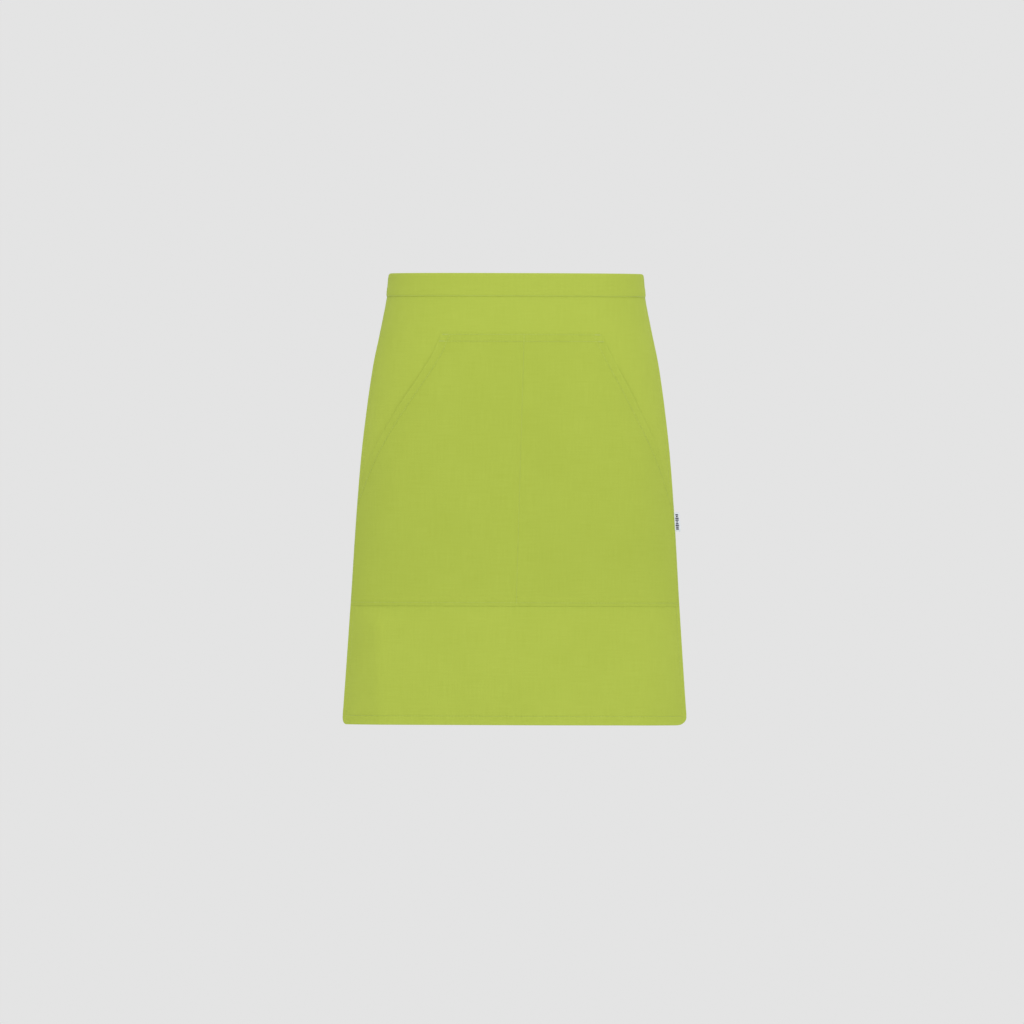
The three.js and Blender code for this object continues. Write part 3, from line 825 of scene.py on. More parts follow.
def make_knot():
    """One turn of cloth wrapped round the crossing, with creases that run with the wrap."""
    around = np.linspace(0, 2 * math.pi, 73)[:-1]
    along = np.sin(np.linspace(-math.pi / 2, math.pi / 2, 41))
    a, u = np.meshgrid(around, along, indexing="ij")
    half = knot_size / 2
    waist = from_least(knot_ends, (1 - np.abs(u) ** 3.2) ** 0.5)
    creased = 0.0
    for c in knot_creases:
        off = u - c["place"] - c["slip"] * np.sin(a + 3 * c["place"])
        creased = creased - c["depth"] * np.exp(-((off / crease_width) ** 2))
    swollen = knot_swelling * np.cos(7 * u + 1.5 * np.sin(a))
    size_y, size_z = ((h - knot_cloth) * waist + creased + swollen for h in half[1:])
    square = 2 / knot_square
    y = np.sign(np.cos(a)) * np.abs(np.cos(a)) ** square * size_y
    z = np.sign(np.sin(a)) * np.abs(np.sin(a)) ** square * size_z
    x = u * half[0]
    points = np.stack([x, y, z], -1) + knot_middle
    rows, cols = a.shape
    index = np.arange(rows * cols).reshape(rows, cols)
    after = np.roll(index, -1, axis=0)
    faces = np.stack([index[:, :-1], after[:, :-1], after[:, 1:], index[:, 1:]], -1)
    faces = faces.reshape(-1, 4).tolist()
    ends = points.mean(0)[[0, -1]]
    points = np.concatenate([points.reshape(-1, 3), ends])
    left, right = rows * cols, rows * cols + 1
    faces += [(left, int(after[k, 0]), int(index[k, 0])) for k in range(rows)]
    faces += [(right, int(index[k, -1]), int(after[k, -1])) for k in range(rows)]
    pattern = np.stack([a * half[2], x], -1).reshape(-1, 2)
    uv = np.concatenate([pattern, [[0, -half[0]], [0, half[0]]]])
    wear = np.clip(swollen / mm, 0, 1).ravel() * 0.5
    wear = np.append(wear, [0, 0])
    return mesh_piece("bow_knot_cloth", points, faces, uv, wear, np.zeros((len(wear), 3)))


knot = make_knot()

# %% Make the loops
gather_narrower = 0.42
loop_length = 105 * mm
loop_opening = 9 * mm
loop_droop = 62 * mm
loop_root = 1.6 * mm
strand_apart = 2.2 * mm
loop_turn = math.radians(20)
loop_gather = 1.3 * mm
knot_set = 4 * mm


def make_loop(side, name):
    """A strand out to the tip and another back, round a spine that droops."""
    t = np.linspace(0, 1, 121)
    reach = (1 - np.cos(2 * math.pi * t)) / 2
    root = np.array([knot_size[0] / 2 - 3 * mm, 0])
    bend = root + [loop_length * 0.53, -loop_droop * 0.1]
    tip = root + [loop_length * 0.8 + 5 * mm, -loop_droop]
    u = reach[:, None]
    spine = root * (1 - u) ** 2 + bend * 2 * u * (1 - u) + tip * u**2
    onward = (bend - root) * (1 - u) + (tip - bend) * u
    depth = loop_opening * np.sin(2 * math.pi * t) * (0.4 + 0.6 * reach)
    depth += loop_root * (1 - 2 * t) + knot_set
    middle = knot_middle + np.stack([side * spine[:, 0], depth, spine[:, 1]], 1)
    across = np.stack([-side * onward[:, 1], np.zeros(len(t)), onward[:, 0]], 1)
    across /= np.linalg.norm(across, axis=1, keepdims=True)
    middle -= across * (strand_apart * np.sin(2 * math.pi * t) * reach)[:, None]
    turn = loop_turn * ease(reach / 0.7)[:, None]
    across = across * np.cos(turn) + np.array([0, 1.0, 0]) * np.sin(turn)
    near = 1 - ease(reach / 0.4)
    width = tie_width * (1 - gather_narrower * near)
    return strip_cloth(name, middle, across, width, loop_gather * near)


loop_left = make_loop(-1, "bow_loop_left_cloth")
loop_right = make_loop(1, "bow_loop_right_cloth")

# %% Make the tails
tails = {-1: 265 * mm, 1: 240 * mm}
tail_hidden = 5 * mm
tail_spread = 26 * mm
tail_push = 12 * mm
tail_sway = 1.4 * mm
tail_twist = math.radians(14)
tail_gather = 1.2 * mm


def make_tail(side, name):
    """A strip that hangs down from inside the knot, with a slight sway and twist."""
    t = np.linspace(0, 1, 101)
    length = tails[side] + tail_hidden
    start = knot_middle + [side * tie_width * 0.2, side * 1.5 * mm,
                           tail_hidden - knot_size[2] / 2]
    sway = tail_sway * np.sin(2.2 * math.pi * t + side) * t
    middle = np.stack([
        start[0] + side * tail_spread * ease(t) + sway,
        start[1] + tail_push * np.sin(t * math.pi / 2) + sway * 0.8,
        start[2] - length * t,
    ], 1)
    twist = tail_twist * side * t
    across = np.stack([np.cos(twist), np.sin(twist), np.zeros(len(t))], 1)
    near = 1 - ease(t / 0.14)
    width = tie_width * (1 - gather_narrower * near)
    return strip_cloth(name, middle, across, width, tail_gather * near, closed_end=True)


tail_left = make_tail(-1, "tie_tail_left_cloth")
tail_right = make_tail(1, "tie_tail_right_cloth")

# %% [markdown]
# ## The side label
#
# A short woven tape, folded in half, whose two ends are caught inside the panel's side
# hem. It comes out of the hem's fold and stands out to the side.

# %% Make the side label
label_top = mouths[1]["end"] + 13 * mm
label_height = 20 * mm
label_reach = 5.7 * mm
label_lean = math.radians(12)
label_tape = 0.4 * mm
label_gap = 0.5 * mm
label_seat = -1.1 * cloth
label_caught = 3.2 * mm
label_bend = 0.6 * mm
label_wave = {"height": 0.35 * mm, "pitch": 4 * mm}


def make_label():
    """Rows follow the tape out from the seam, round its fold and back."""
    columns = np.linspace(label_top + label_height, label_top, 9)
    lean = np.array([math.cos(label_lean), math.sin(label_lean), 0])
    t = np.linspace(0, 1, 25)[:, None, None]
    root, seam = (
        worn(length_at(columns) - inset, columns,
             panel_relief(length_at(columns) - inset, columns) + label_seat)
        for inset in (label_caught, -label_bend))
    tip = seam + lean * label_reach
    bend = seam + lean * 1.5 * mm
    curve = root * (1 - t) ** 3 + 3 * seam * t * (1 - t) ** 2 + 3 * bend * t**2 * (1 - t)
    curve = curve + tip * t**3
    wave = label_wave["height"] * np.sin((columns - label_top) / label_wave["pitch"])
    curve[..., 1] += wave * t[..., 0] ** 2
    onward = np.gradient(curve, axis=0)
    onward /= np.linalg.norm(onward, axis=-1, keepdims=True)
    out = np.cross(onward, [0, 0, 1.0])
    turn = np.linspace(0, math.pi, 9)[1:-1, None, None]
    end, end_on, end_out = curve[-1], onward[-1], out[-1]
    sewn_flat = 0.4 + 0.6 * ease((t - 0.25) / 0.4)

    def skin(offset):
        fold = end + offset * (np.sin(turn) * end_on + np.cos(turn) * end_out)
        stand = offset * sewn_flat * out
        return np.concatenate([curve + stand, fold, (curve - stand)[::-1]])

    middle = label_gap / 2 + label_tape / 2
    front, back = skin(middle + label_tape / 2), skin(middle - label_tape / 2)
    flow = path_length(front[:, 4])[:, None]
    pattern = np.stack(np.broadcast_arrays(flow, columns - label_top), -1)
    return closed_cloth("side_label_tape", front, back, pattern)


label = make_label()

# %% [markdown]
# ## Stitches
#
# Each seam is a row of lockstitches: short, slightly sunk lengths of thread, one after
# the other. They could be a bump pattern, but real stitches catch the light one by one,
# so each is a small solid. Geometry Nodes suit this well: one line for each seam is cut
# into equal steps, a stitch is placed at every second step, turned along the line and
# facing out of the cloth, and between two stitches lies the small dimple where the needle
# went through, with painted shadow as its dark colour. The same tree makes the bartacks,
# the dense bars that lock the pocket's corners, by turning close-set stitches across the line.

# %% Helpers for node trees
def socket_in(tree, name, kind, value=None):
    socket = tree.interface.new_socket(name, in_out="INPUT", socket_type="NodeSocket" + kind)
    if value is not None:
        socket.default_value = value
    return socket.identifier


def step(tree, kind, inputs=None, **settings):
    """Add a node: its own settings, and its inputs' values or the outputs that feed them."""
    node = tree.nodes.new(kind)
    for name, value in settings.items():
        setattr(node, name, value)
    for name, value in (inputs or {}).items():
        if isinstance(value, bpy.types.NodeSocket):
            tree.links.new(value, node.inputs[name])
        else:
            node.inputs[name].default_value = value
    return node


# %% The sewing tree's inputs
stitch_tree = bpy.data.node_groups.new("Sewn line", "GeometryNodeTree")
sew_step = partial(step, stitch_tree)
socket_in(stitch_tree, "Geometry", "Geometry")
sewing = {
    name: socket_in(stitch_tree, name, kind, value)
    for name, kind, value in (
        ("Pitch", "Float", 3.2 * mm),
        ("Length", "Float", 2.75 * mm),
        ("Thread", "Float", 0.5 * mm),
        ("Turn", "Float", 0.0),
        ("Unevenness", "Float", 0.06),
        ("Seed", "Int", 3),
        ("Material", "Material", None),
        ("Hole", "Float", 0.55 * mm),
        ("Hole shadow material", "Material", None),
    )
}
stitch_tree.interface.new_socket("Geometry", in_out="OUTPUT", socket_type="NodeSocketGeometry")
given = sew_step("NodeGroupInput").outputs
print("the sewing tree takes", ", ".join(sewing))


def times(value, factor):
    """One of the tree's values, multiplied."""
    return sew_step("ShaderNodeMath", {0: value, 1: factor}, operation="MULTIPLY").outputs[0]


# %% Cut the line into steps: a stitch, a hole, a stitch
line = sew_step("GeometryNodeMeshToCurve", {"Mesh": given["Geometry"]})
cut = sew_step("GeometryNodeResampleCurve",
               {"Curve": line.outputs["Curve"], "Length": times(given["Pitch"], 0.5)},
               mode="LENGTH")
index = sew_step("GeometryNodeInputIndex")
odd = sew_step("ShaderNodeMath", {0: index.outputs["Index"], 1: 2.0}, operation="MODULO")
is_hole, is_stitch = (
    sew_step("FunctionNodeCompare", {"A": odd.outputs[0], "B": 0.5}, data_type="FLOAT",
             operation=operation)
    for operation in ("GREATER_THAN", "LESS_THAN")
)

# %% Turn each one along the line, facing out of the cloth
looks = sew_step("GeometryNodeInputNamedAttribute", {"Name": "facing"},
                 data_type="FLOAT_VECTOR")
tangent = sew_step("GeometryNodeInputTangent")
aimed = sew_step("FunctionNodeAlignRotationToVector",
                 {"Vector": tangent.outputs["Tangent"]}, axis="X")
upright = sew_step("FunctionNodeAlignRotationToVector",
                   {"Rotation": aimed.outputs["Rotation"],
                    "Vector": looks.outputs["Attribute"]}, axis="Z", pivot_axis="X")
wobble = sew_step("FunctionNodeRandomValue",
                  {"Min": times(given["Unevenness"], -1.0), "Max": given["Unevenness"],
                   "Seed": given["Seed"]}, data_type="FLOAT")
angle = sew_step("ShaderNodeMath", {0: wobble.outputs["Value"], 1: given["Turn"]},
                 operation="ADD")
angles = sew_step("ShaderNodeCombineXYZ", {"Z": angle.outputs[0]})
turned = sew_step("FunctionNodeEulerToRotation", {"Euler": angles.outputs[0]})
placed = sew_step("FunctionNodeRotateRotation",
                  {"Rotation": upright.outputs["Rotation"], "Rotate By": turned.outputs[0]},
                  rotation_space="LOCAL")

# %% A bead for each stitch and a flat one for each hole
thread_flatness = 0.7
hole_narrowness = 0.75
hole_depth = 0.16 * mm
bead = sew_step("GeometryNodeMeshUVSphere", {"Segments": 8, "Rings": 6, "Radius": 0.5})
smooth_bead = sew_step("GeometryNodeSetShadeSmooth", {"Geometry": bead.outputs["Mesh"]})
stitch_size = sew_step("ShaderNodeCombineXYZ", {
    "X": given["Length"], "Y": given["Thread"],
    "Z": times(given["Thread"], thread_flatness)})
hole_size = sew_step("ShaderNodeCombineXYZ", {
    "X": given["Hole"], "Y": times(given["Hole"], hole_narrowness), "Z": hole_depth})
joined = sew_step("GeometryNodeJoinGeometry")
finished = []
# The hole beads take the dark material: painted shadow in the needle holes.
for chosen, scale, material in ((is_stitch, stitch_size, given["Material"]),
                                (is_hole, hole_size, given["Hole shadow material"])):
    placed_beads = sew_step("GeometryNodeInstanceOnPoints", {
        "Points": cut.outputs["Curve"], "Selection": chosen.outputs["Result"],
        "Instance": smooth_bead.outputs["Geometry"], "Rotation": placed.outputs["Rotation"],
        "Scale": scale.outputs["Vector"]})
    real = sew_step("GeometryNodeRealizeInstances",
                    {"Geometry": placed_beads.outputs["Instances"]})
    finished.append(sew_step("GeometryNodeSetMaterial",
                             {"Geometry": real.outputs["Geometry"], "Material": material}))
for piece in finished:
    stitch_tree.links.new(piece.outputs["Geometry"], joined.inputs["Geometry"])
sew_step("NodeGroupOutput", {"Geometry": joined.outputs["Geometry"]})
print("the sewing tree has", len(stitch_tree.nodes), "nodes")


# %% Sew lines with the tree
def sew(name, lines, material, **sizes):
    """Stitches along lines, each a pair of points and the directions that they face."""
    counts = [len(points) for points, _ in lines]
    points = np.concatenate([p for p, _ in lines])
    looks_out = np.concatenate([f for _, f in lines])
    starts = np.concatenate([[0], np.cumsum(counts)[:-1]])
    edges = [(s + k, s + k + 1) for s, count in zip(starts, counts) for k in range(count - 1)]
    mesh = bpy.data.meshes.new(name + "_line")
    mesh.from_pydata(points.tolist(), edges, [])
    mesh.attributes.new("facing", "FLOAT_VECTOR", "POINT").data.foreach_set(
        "vector", looks_out.ravel())
    guide = bpy.data.objects.new(name + "_line", mesh)
    bpy.context.scene.collection.objects.link(guide)
    modifier = guide.modifiers.new("Sewn line", "NODES")
    modifier.node_group = stitch_tree
    modifier[sewing["Material"]], modifier[sewing["Hole shadow material"]] = material
    for key, value in sizes.items():
        modifier[sewing[key]] = value
    graph = bpy.context.evaluated_depsgraph_get()
    made = bpy.data.meshes.new_from_object(guide.evaluated_get(graph))
    made.name = name
    guide.modifiers.remove(modifier)
    bpy.data.objects.remove(guide)
    bpy.data.meshes.remove(mesh)
    piece = bpy.data.objects.new(name, made)
    bpy.context.scene.collection.objects.link(piece)
    print(name, sum(counts), "guide points,", len(made.polygons), "faces")
    return piece


# %% [markdown]
# ## Woven cloth as a material
#
# The cloth is a fine twill: warp and weft threads about 0.45 mm apart, with each weft
# thread passing over one warp thread in three, a step further on in each row. One node
# group draws the threads from the pattern coordinates and gives their height, a tint that
# varies in fine streaks along both sets of threads and in broad faint patches, painted
# shade that darkens the gaps between threads, and a roughness. A second group draws what
# the seams do to the cloth: short ripples across each seam and a groove under its thread.
# Each material places the groups with its own values.

# %% Helpers for shader groups
def math_step(tree, operation, *values, clamp=False):
    """A sum on numbers or other nodes' outputs; gives the output."""
    node = step(tree, "ShaderNodeMath", dict(enumerate(values)), operation=operation,
                use_clamp=clamp)
    return node.outputs[0]


def noise(tree, vector, stretch, detail=2.0):
    """Noise on coordinates in metres; stretch is how often it changes in each direction."""
    scaled = step(tree, "ShaderNodeVectorMath", {0: vector, 1: stretch}, operation="MULTIPLY")
    node = step(tree, "ShaderNodeTexNoise",
                {"Vector": scaled.outputs["Vector"], "Scale": 1.0, "Detail": detail})
    return node.outputs["Fac"]


# %% The weave group's inputs and outputs
thread_pitch = 0.45 * mm
weave = bpy.data.node_groups.new("Twill weave", "ShaderNodeTree")
calc = partial(math_step, weave)
for name, kind, value in (("Pattern", "Vector", None), ("Thread pitch", "Float", thread_pitch),
                          ("Streaks", "Float", 0.5), ("Patches", "Float", 0.5)):
    socket_in(weave, name, kind, value)
for name in ("Height", "Tint", "Roughness", "Shade"):
    weave.interface.new_socket(name, in_out="OUTPUT", socket_type="NodeSocketFloat")

# %% Threads over and under
given = step(weave, "NodeGroupInput").outputs
per_pitch = calc("DIVIDE", 1.0, given["Thread pitch"])
threads = step(weave, "ShaderNodeVectorMath", {0: given["Pattern"], "Scale": per_pitch},
               operation="SCALE")
xyz = step(weave, "ShaderNodeSeparateXYZ", {"Vector": threads.outputs["Vector"]}).outputs
warp, weft = (calc("ABSOLUTE", calc("SINE", calc("MULTIPLY", xyz[axis], math.pi)))
              for axis in ("X", "Y"))
place = calc("ADD", calc("FLOOR", xyz["X"]), calc("FLOOR", xyz["Y"]))
over = calc("LESS_THAN", calc("FLOORED_MODULO", place, 3.0), 0.5)
under = calc("SUBTRACT", 1.0, over)
height = calc("ADD", calc("MULTIPLY", over, weft), calc("MULTIPLY", under, warp))

# %% Streaks along the threads, broad patches, and what the group gives
along_warp = noise(weave, given["Pattern"], (900, 35, 1))
along_weft = noise(weave, given["Pattern"], (35, 900, 1))
patches = noise(weave, given["Pattern"], (16, 16, 1), 3.0)
streaks = calc("SUBTRACT", calc("ADD", along_warp, along_weft), 1.0)
tint = calc("ADD", calc("MULTIPLY", streaks, given["Streaks"]),
            calc("MULTIPLY", calc("SUBTRACT", patches, 0.5), given["Patches"]))
# The Shade output is painted shade: darker in the gaps between threads.
step(weave, "NodeGroupOutput", {
    "Height": calc("ADD", height, calc("MULTIPLY", streaks, 0.8)),
    "Tint": calc("ADD", tint, 0.5, clamp=True),
    "Roughness": calc("ADD", 0.8, calc("MULTIPLY", height, 0.12)),
    "Shade": calc("ADD", 0.86, calc("MULTIPLY", height, 0.22))})
print("the weave group has", len(weave.nodes), "nodes")

# %% The seam group
seam_pull = bpy.data.node_groups.new("Seam pull", "ShaderNodeTree")
calc = partial(math_step, seam_pull)
socket_in(seam_pull, "Pattern", "Vector")
socket_in(seam_pull, "Pull", "Vector")
socket_in(seam_pull, "Groove", "Float", 0.06)
seam_pull.interface.new_socket("Height", in_out="OUTPUT", socket_type="NodeSocketFloat")
given = step(seam_pull, "NodeGroupInput").outputs
pulls = step(seam_pull, "ShaderNodeSeparateXYZ", {"Vector": given["Pull"]}).outputs
total = None
for axis, stretch in (("X", (300, 60, 1)), ("Y", (60, 300, 1))):
    ripple = calc("SUBTRACT", noise(seam_pull, given["Pattern"], stretch, 1.0), 0.5)
    rippled = calc("MULTIPLY", ripple, pulls[axis])
    total = calc("ADD", total, rippled) if total else rippled
    sunk = calc("MULTIPLY", calc("POWER", pulls[axis], 12.0), given["Groove"])
    total = calc("SUBTRACT", total, sunk)
step(seam_pull, "NodeGroupOutput", {"Height": total})
print("the seam group has", len(seam_pull.nodes), "nodes")


# %% Helpers for materials
def new_material(name):
    """A new material and its empty node tree."""
    material = bpy.data.materials.new(name)
    material.use_nodes = True
    material.node_tree.nodes.clear()
    return material, material.node_tree


def mix_colours(tree, share, *colours):
    """A colour between two others, each of them fixed or another node's output."""
    node = step(tree, "ShaderNodeMix", {"Factor": share}, data_type="RGBA")
    for socket, colour in zip(node.inputs[6:8], colours):
        if isinstance(colour, bpy.types.NodeSocket):
            tree.links.new(colour, socket)
        else:
            socket.default_value = (*colour, 1)
    return node.outputs[2]


def bumped(tree, height, strength, distance, **normal):
    """A normal that a height has moved."""
    inputs = {"Height": height, "Strength": strength, "Distance": distance, **normal}
    return step(tree, "ShaderNodeBump", inputs).outputs["Normal"]


def surface_of(tree, inputs):
    """The material's shader, joined to its output."""
    shader = step(tree, "ShaderNodeBsdfPrincipled", inputs)
    step(tree, "ShaderNodeOutputMaterial", {"Surface": shader.outputs["BSDF"]})


# %% Cloth materials
wear_and_lift_share = 0.22


def cloth_material(name, dark, light):
    """A woven material between two colours, paler where the wear attribute is high: worn edges,
    and on the waistband's lower edge also painted light.
    """
    material, tree = new_material(name)
    pattern = step(tree, "ShaderNodeUVMap", uv_map="pattern").outputs["UV"]
    woven = step(tree, "ShaderNodeGroup",
                 {"Pattern": pattern, "Thread pitch": thread_pitch, "Streaks": 0.8},
                 node_tree=weave).outputs
    dyed = mix_colours(tree, woven["Tint"], dark, light)
    wear_and_painted_lift = step(tree, "ShaderNodeAttribute", attribute_name="wear").outputs["Fac"]
    pale = [min(c * 1.18 + 0.02, 1) for c in light]
    paled = mix_colours(tree, math_step(tree, "MULTIPLY", wear_and_painted_lift, wear_and_lift_share), dyed, pale)
    # The weave's painted shade darkens the colour in the gaps between threads.
    shaded = step(tree, "ShaderNodeVectorMath", {0: paled, "Scale": woven["Shade"]},
                  operation="SCALE")
    near = step(tree, "ShaderNodeAttribute", attribute_name="pull").outputs["Vector"]
    pulled = step(tree, "ShaderNodeGroup", {"Pattern": pattern, "Pull": near},
                  node_tree=seam_pull).outputs
    rippled = bumped(tree, pulled["Height"], 1.0, 0.8 * mm)
    surface_of(tree, {
        "Base Color": shaded.outputs["Vector"], "Roughness": woven["Roughness"],
        "Normal": bumped(tree, woven["Height"], 0.6, 0.1 * mm, Normal=rippled),
        "Sheen Weight": 0.25, "Sheen Roughness": 0.5, "Sheen Tint": (*light, 1),
        "Specular IOR Level": 0.25})
    return material


def thread_material(name, colour):
    """Sewing thread: a little glossier than the cloth, with its twist as fine bump."""
    material, tree = new_material(name)
    place = step(tree, "ShaderNodeTexCoord").outputs["Object"]
    twist = noise(tree, place, (2600, 2600, 2600), 1.0)
    tone = noise(tree, place, (120, 120, 120), 1.0)
    mixed = mix_colours(tree, tone, [c * 0.86 for c in colour],
                        [min(c * 1.12, 1) for c in colour])
    surface_of(tree, {"Base Color": mixed, "Roughness": 0.5, "Sheen Weight": 0.1,
                      "Normal": bumped(tree, twist, 0.4, 0.05 * mm)})
    return material


# %% Colour each piece; the pocket's darker copy of the twill is painted shade
panel_dark, panel_light = (0.41, 0.503, 0.061), (0.461, 0.56, 0.079)
panel_twill = cloth_material("Lime twill", panel_dark, panel_light)
# The pocket's copy of the same twill is a little darker: painted shade.
pocket_twill = cloth_material("Lime twill, pocket, painted shade", (0.393, 0.485, 0.057),
                              (0.443, 0.542, 0.075))
tie_twill = cloth_material("Lime twill, ties", panel_dark, panel_light)
# The second material is painted shadow, the dark of the needle holes.
thread = (thread_material("Lime thread", (0.47, 0.57, 0.095)),
          thread_material("Needle hole shadow", (0.33, 0.4, 0.058)))
for piece in (panel, band):
    piece.data.materials.append(panel_twill)
pocket.data.materials.append(pocket_twill)
for piece in (tie_left, tie_right, knot, loop_left, loop_right, tail_left, tail_right):
    piece.data.materials.append(tie_twill)
print("materials:", ", ".join(material.name for material in bpy.data.materials))

# %% [markdown]
# ## The label's finish
#
# A close satin weave in pale grey with a dark woven motif. It carries plain bars of
# uneven length, not words.

# %% Label material
motif_middle = 5.9 * mm
motif_margin = 1.5 * mm
bar_count = 9
bar_half_lengths = {"least": 0.9 * mm, "more": 1.1 * mm}
bar_half_width = 0.37


def label_material(pale, dark):
    """A satin tape with a row of plain short bars woven down its front."""
    material, tree = new_material("Label satin")
    pattern = step(tree, "ShaderNodeUVMap", uv_map="pattern").outputs["UV"]
    woven = step(tree, "ShaderNodeGroup", {"Pattern": pattern, "Thread pitch": 0.22 * mm},
                 node_tree=weave)
    xyz = step(tree, "ShaderNodeSeparateXYZ", {"Vector": pattern}).outputs
    calc = partial(math_step, tree)

    def within(value, middle, reach):
        """1 where a value is nearer to a middle than a reach."""
        return calc("LESS_THAN", calc("ABSOLUTE", calc("SUBTRACT", value, middle)), reach)

    bars = calc("DIVIDE", calc("SUBTRACT", xyz["Y"], motif_margin),
                (label_height - 2 * motif_margin) / bar_count)
    length = step(tree, "ShaderNodeTexWhiteNoise", {"W": calc("FLOOR", bars)},
                  noise_dimensions="1D").outputs["Value"]
    half_bar = calc("ADD", bar_half_lengths["least"],
                    calc("MULTIPLY", length, bar_half_lengths["more"]))
    in_bar = within(xyz["X"], motif_middle, half_bar)
    in_height = within(xyz["Y"], label_height / 2, label_height / 2 - motif_margin)
    in_dash = within(calc("FRACT", bars), 0.5, bar_half_width)
    mark = calc("MULTIPLY", calc("MULTIPLY", in_bar, in_height), in_dash)
    surface_of(tree, {
        "Base Color": mix_colours(tree, mark, pale, dark), "Roughness": 0.42,
        "Normal": bumped(tree, woven.outputs["Height"], 0.3, 0.04 * mm)})
    return material


label.data.materials.append(label_material((0.72, 0.76, 0.83), (0.012, 0.014, 0.04)))

# %% [markdown]
# ## Where the seams run
#
# The rows follow the real sewing order: the panel's side and bottom hems, the pocket's
# double row along the top, its hemmed mouths, the middle, sides and bottom where it is
# sewn down, and the row that closes the waistband. The hems, the waistband and the pocket are
# sewn through, so their rows also show on the inside. Bartacks lock the ends of the
# mouths, where hands pull.

# %% Lines on the cloth
def seam(across, down, height, side=1):
    """A line on one of the outer faces, or with side -1 on an inner face."""
    across, down = np.broadcast_arrays(np.asarray(across, float), np.asarray(down, float))
    out = height(across, down)
    looks = side * facing(across, down, out)
    return worn(across, down, out) + thread_lift * looks, looks


def panel_back(across, down):
    """How far out the panel's inner face lies."""
    inset = length_at(down) - np.abs(across)
    in_hem = np.maximum(ease((side_hem - inset) / mm),
                        ease((down - apron_length + bottom_hem) / mm))
    return panel_relief(across, down) - cloth / 2 - hem_layers * in_hem


def down_side(side, start, end, inset):
    """Pattern coordinates of a line down a side, a little in from the panel's edge."""
    down = np.linspace(start, end, 160)
    return side * (length_at(down) - inset), down


def across_front(down, inset):
    """Pattern coordinates of a line from side to side at one height."""
    reach = float(length_at(down)) - inset
    return np.linspace(-reach, reach, 260), down


def down_mouth(side, inset):
    """Pattern coordinates of a line inside a mouth's edge, on down to the side seam."""
    mouth = mouths[side]
    spare = mouth["seam"] - mouth["corner"]
    tail = (inset / mouth["slant"] - seam_stitch) * mouth["height"] / spare
    down = np.linspace(pocket_top + top_stitches[0], mouth["end"] + tail, 100)
    line = mouth_line(side, down) + np.maximum(down - mouth["end"], 0) * spare / mouth["height"]
    return side * (line - inset / mouth["slant"]), down


# %% Where the panel's, the band's and the pocket's rows run
both_sides = (-1, 1)
hem_line = apron_length - bottom_stitch
pocket_line = pocket_bottom - bottom_seam_stitch
pocket_side = pocket_inset + seam_stitch
side_seams = [down_side(side, band_height, hem_line, side_stitch) for side in both_sides]
panel_seams = [*side_seams, across_front(hem_line, side_stitch)]
band_seams = [across_front(band_stitch, 2.5 * mm)]
band_seams += [down_side(side, 4.6 * mm, band_stitch, 3 * mm) for side in both_sides]
divide_down = np.linspace(pocket_top + top_stitches[0], pocket_line, 120)
divide_seam = (divide_at(divide_down), divide_down)
edge_seams = []
for row in top_stitches:
    down = pocket_top + row
    ends = [side * (float(mouth_line(side, down)) - 2.2 * mm) for side in both_sides]
    edge_seams.append((np.linspace(*ends, 120), down))
for side in both_sides:
    edge_seams.append(down_side(side, mouths[side]["end"] - 3 * mm, pocket_line, pocket_side))
edge_seams.append(across_front(pocket_line, pocket_side))
mouth_seams = [down_mouth(side, mouth_stitch) for side in both_sides]
print(len(panel_seams) + len(band_seams) + len(edge_seams) + len(mouth_seams) + 1, "rows")

# %% Sew the rows
panel_rows = [seam(*line, panel_front) for line in panel_seams]
panel_rows += [seam(*line, panel_back, -1)
               for line in (*panel_seams, divide_seam, *edge_seams)]
panel_stitches = sew("panel_stitches", panel_rows, thread)
band_rows = []
for line in band_seams:
    band_rows.append(seam(*line, band_front))
    band_rows.append(seam(*line, lambda across, down: -band_front(across, down), -1))
band_stitches = sew("waistband_stitches", band_rows, thread)
pocket_rows = [seam(*line, pocket_front) for line in (*edge_seams, *mouth_seams)]
pocket_stitches = sew("pocket_stitches", pocket_rows, thread)
divide_stitches = sew("divide_stitches", [seam(*divide_seam, pocket_front)], thread,
                      Thread=0.6 * mm, Hole=0.3 * mm)
tie_stitches = sew("tie_stitches", stitch_lines["tie"], thread)
bow_stitches = sew("bow_stitches", stitch_lines["bow"], thread)
mark_pull(panel, [*panel_seams, divide_seam, *edge_seams, band_seams[0]])
mark_pull(band, band_seams)
mark_pull(pocket, [*edge_seams, *mouth_seams])

# %% Bartacks
tack_inset = 1.6 * mm
tack_length = {"across": 6 * mm, "down": 10 * mm}
tacks = []
for side in both_sides:
    for row in top_stitches:
        down = pocket_top + row
        far = float(mouth_line(side, down)) - tack_inset
        tacks.append((side * np.linspace(far - tack_length["across"], far, 12), down))
    end, half = mouths[side]["end"], tack_length["down"] / 2
    tacks.append(down_side(side, end - half, end + half, pocket_inset + tack_inset))
tack_rows = [seam(*line, pocket_front) for line in tacks]
bartacks = sew("bartacks", tack_rows, thread, Pitch=0.5 * mm, Length=1.9 * mm,
               Thread=0.5 * mm, Turn=math.pi / 2, Unevenness=0.12, Hole=0.3 * mm)

# %% [markdown]
# ## What each piece is
#
# Everything rides with the apron's one body.

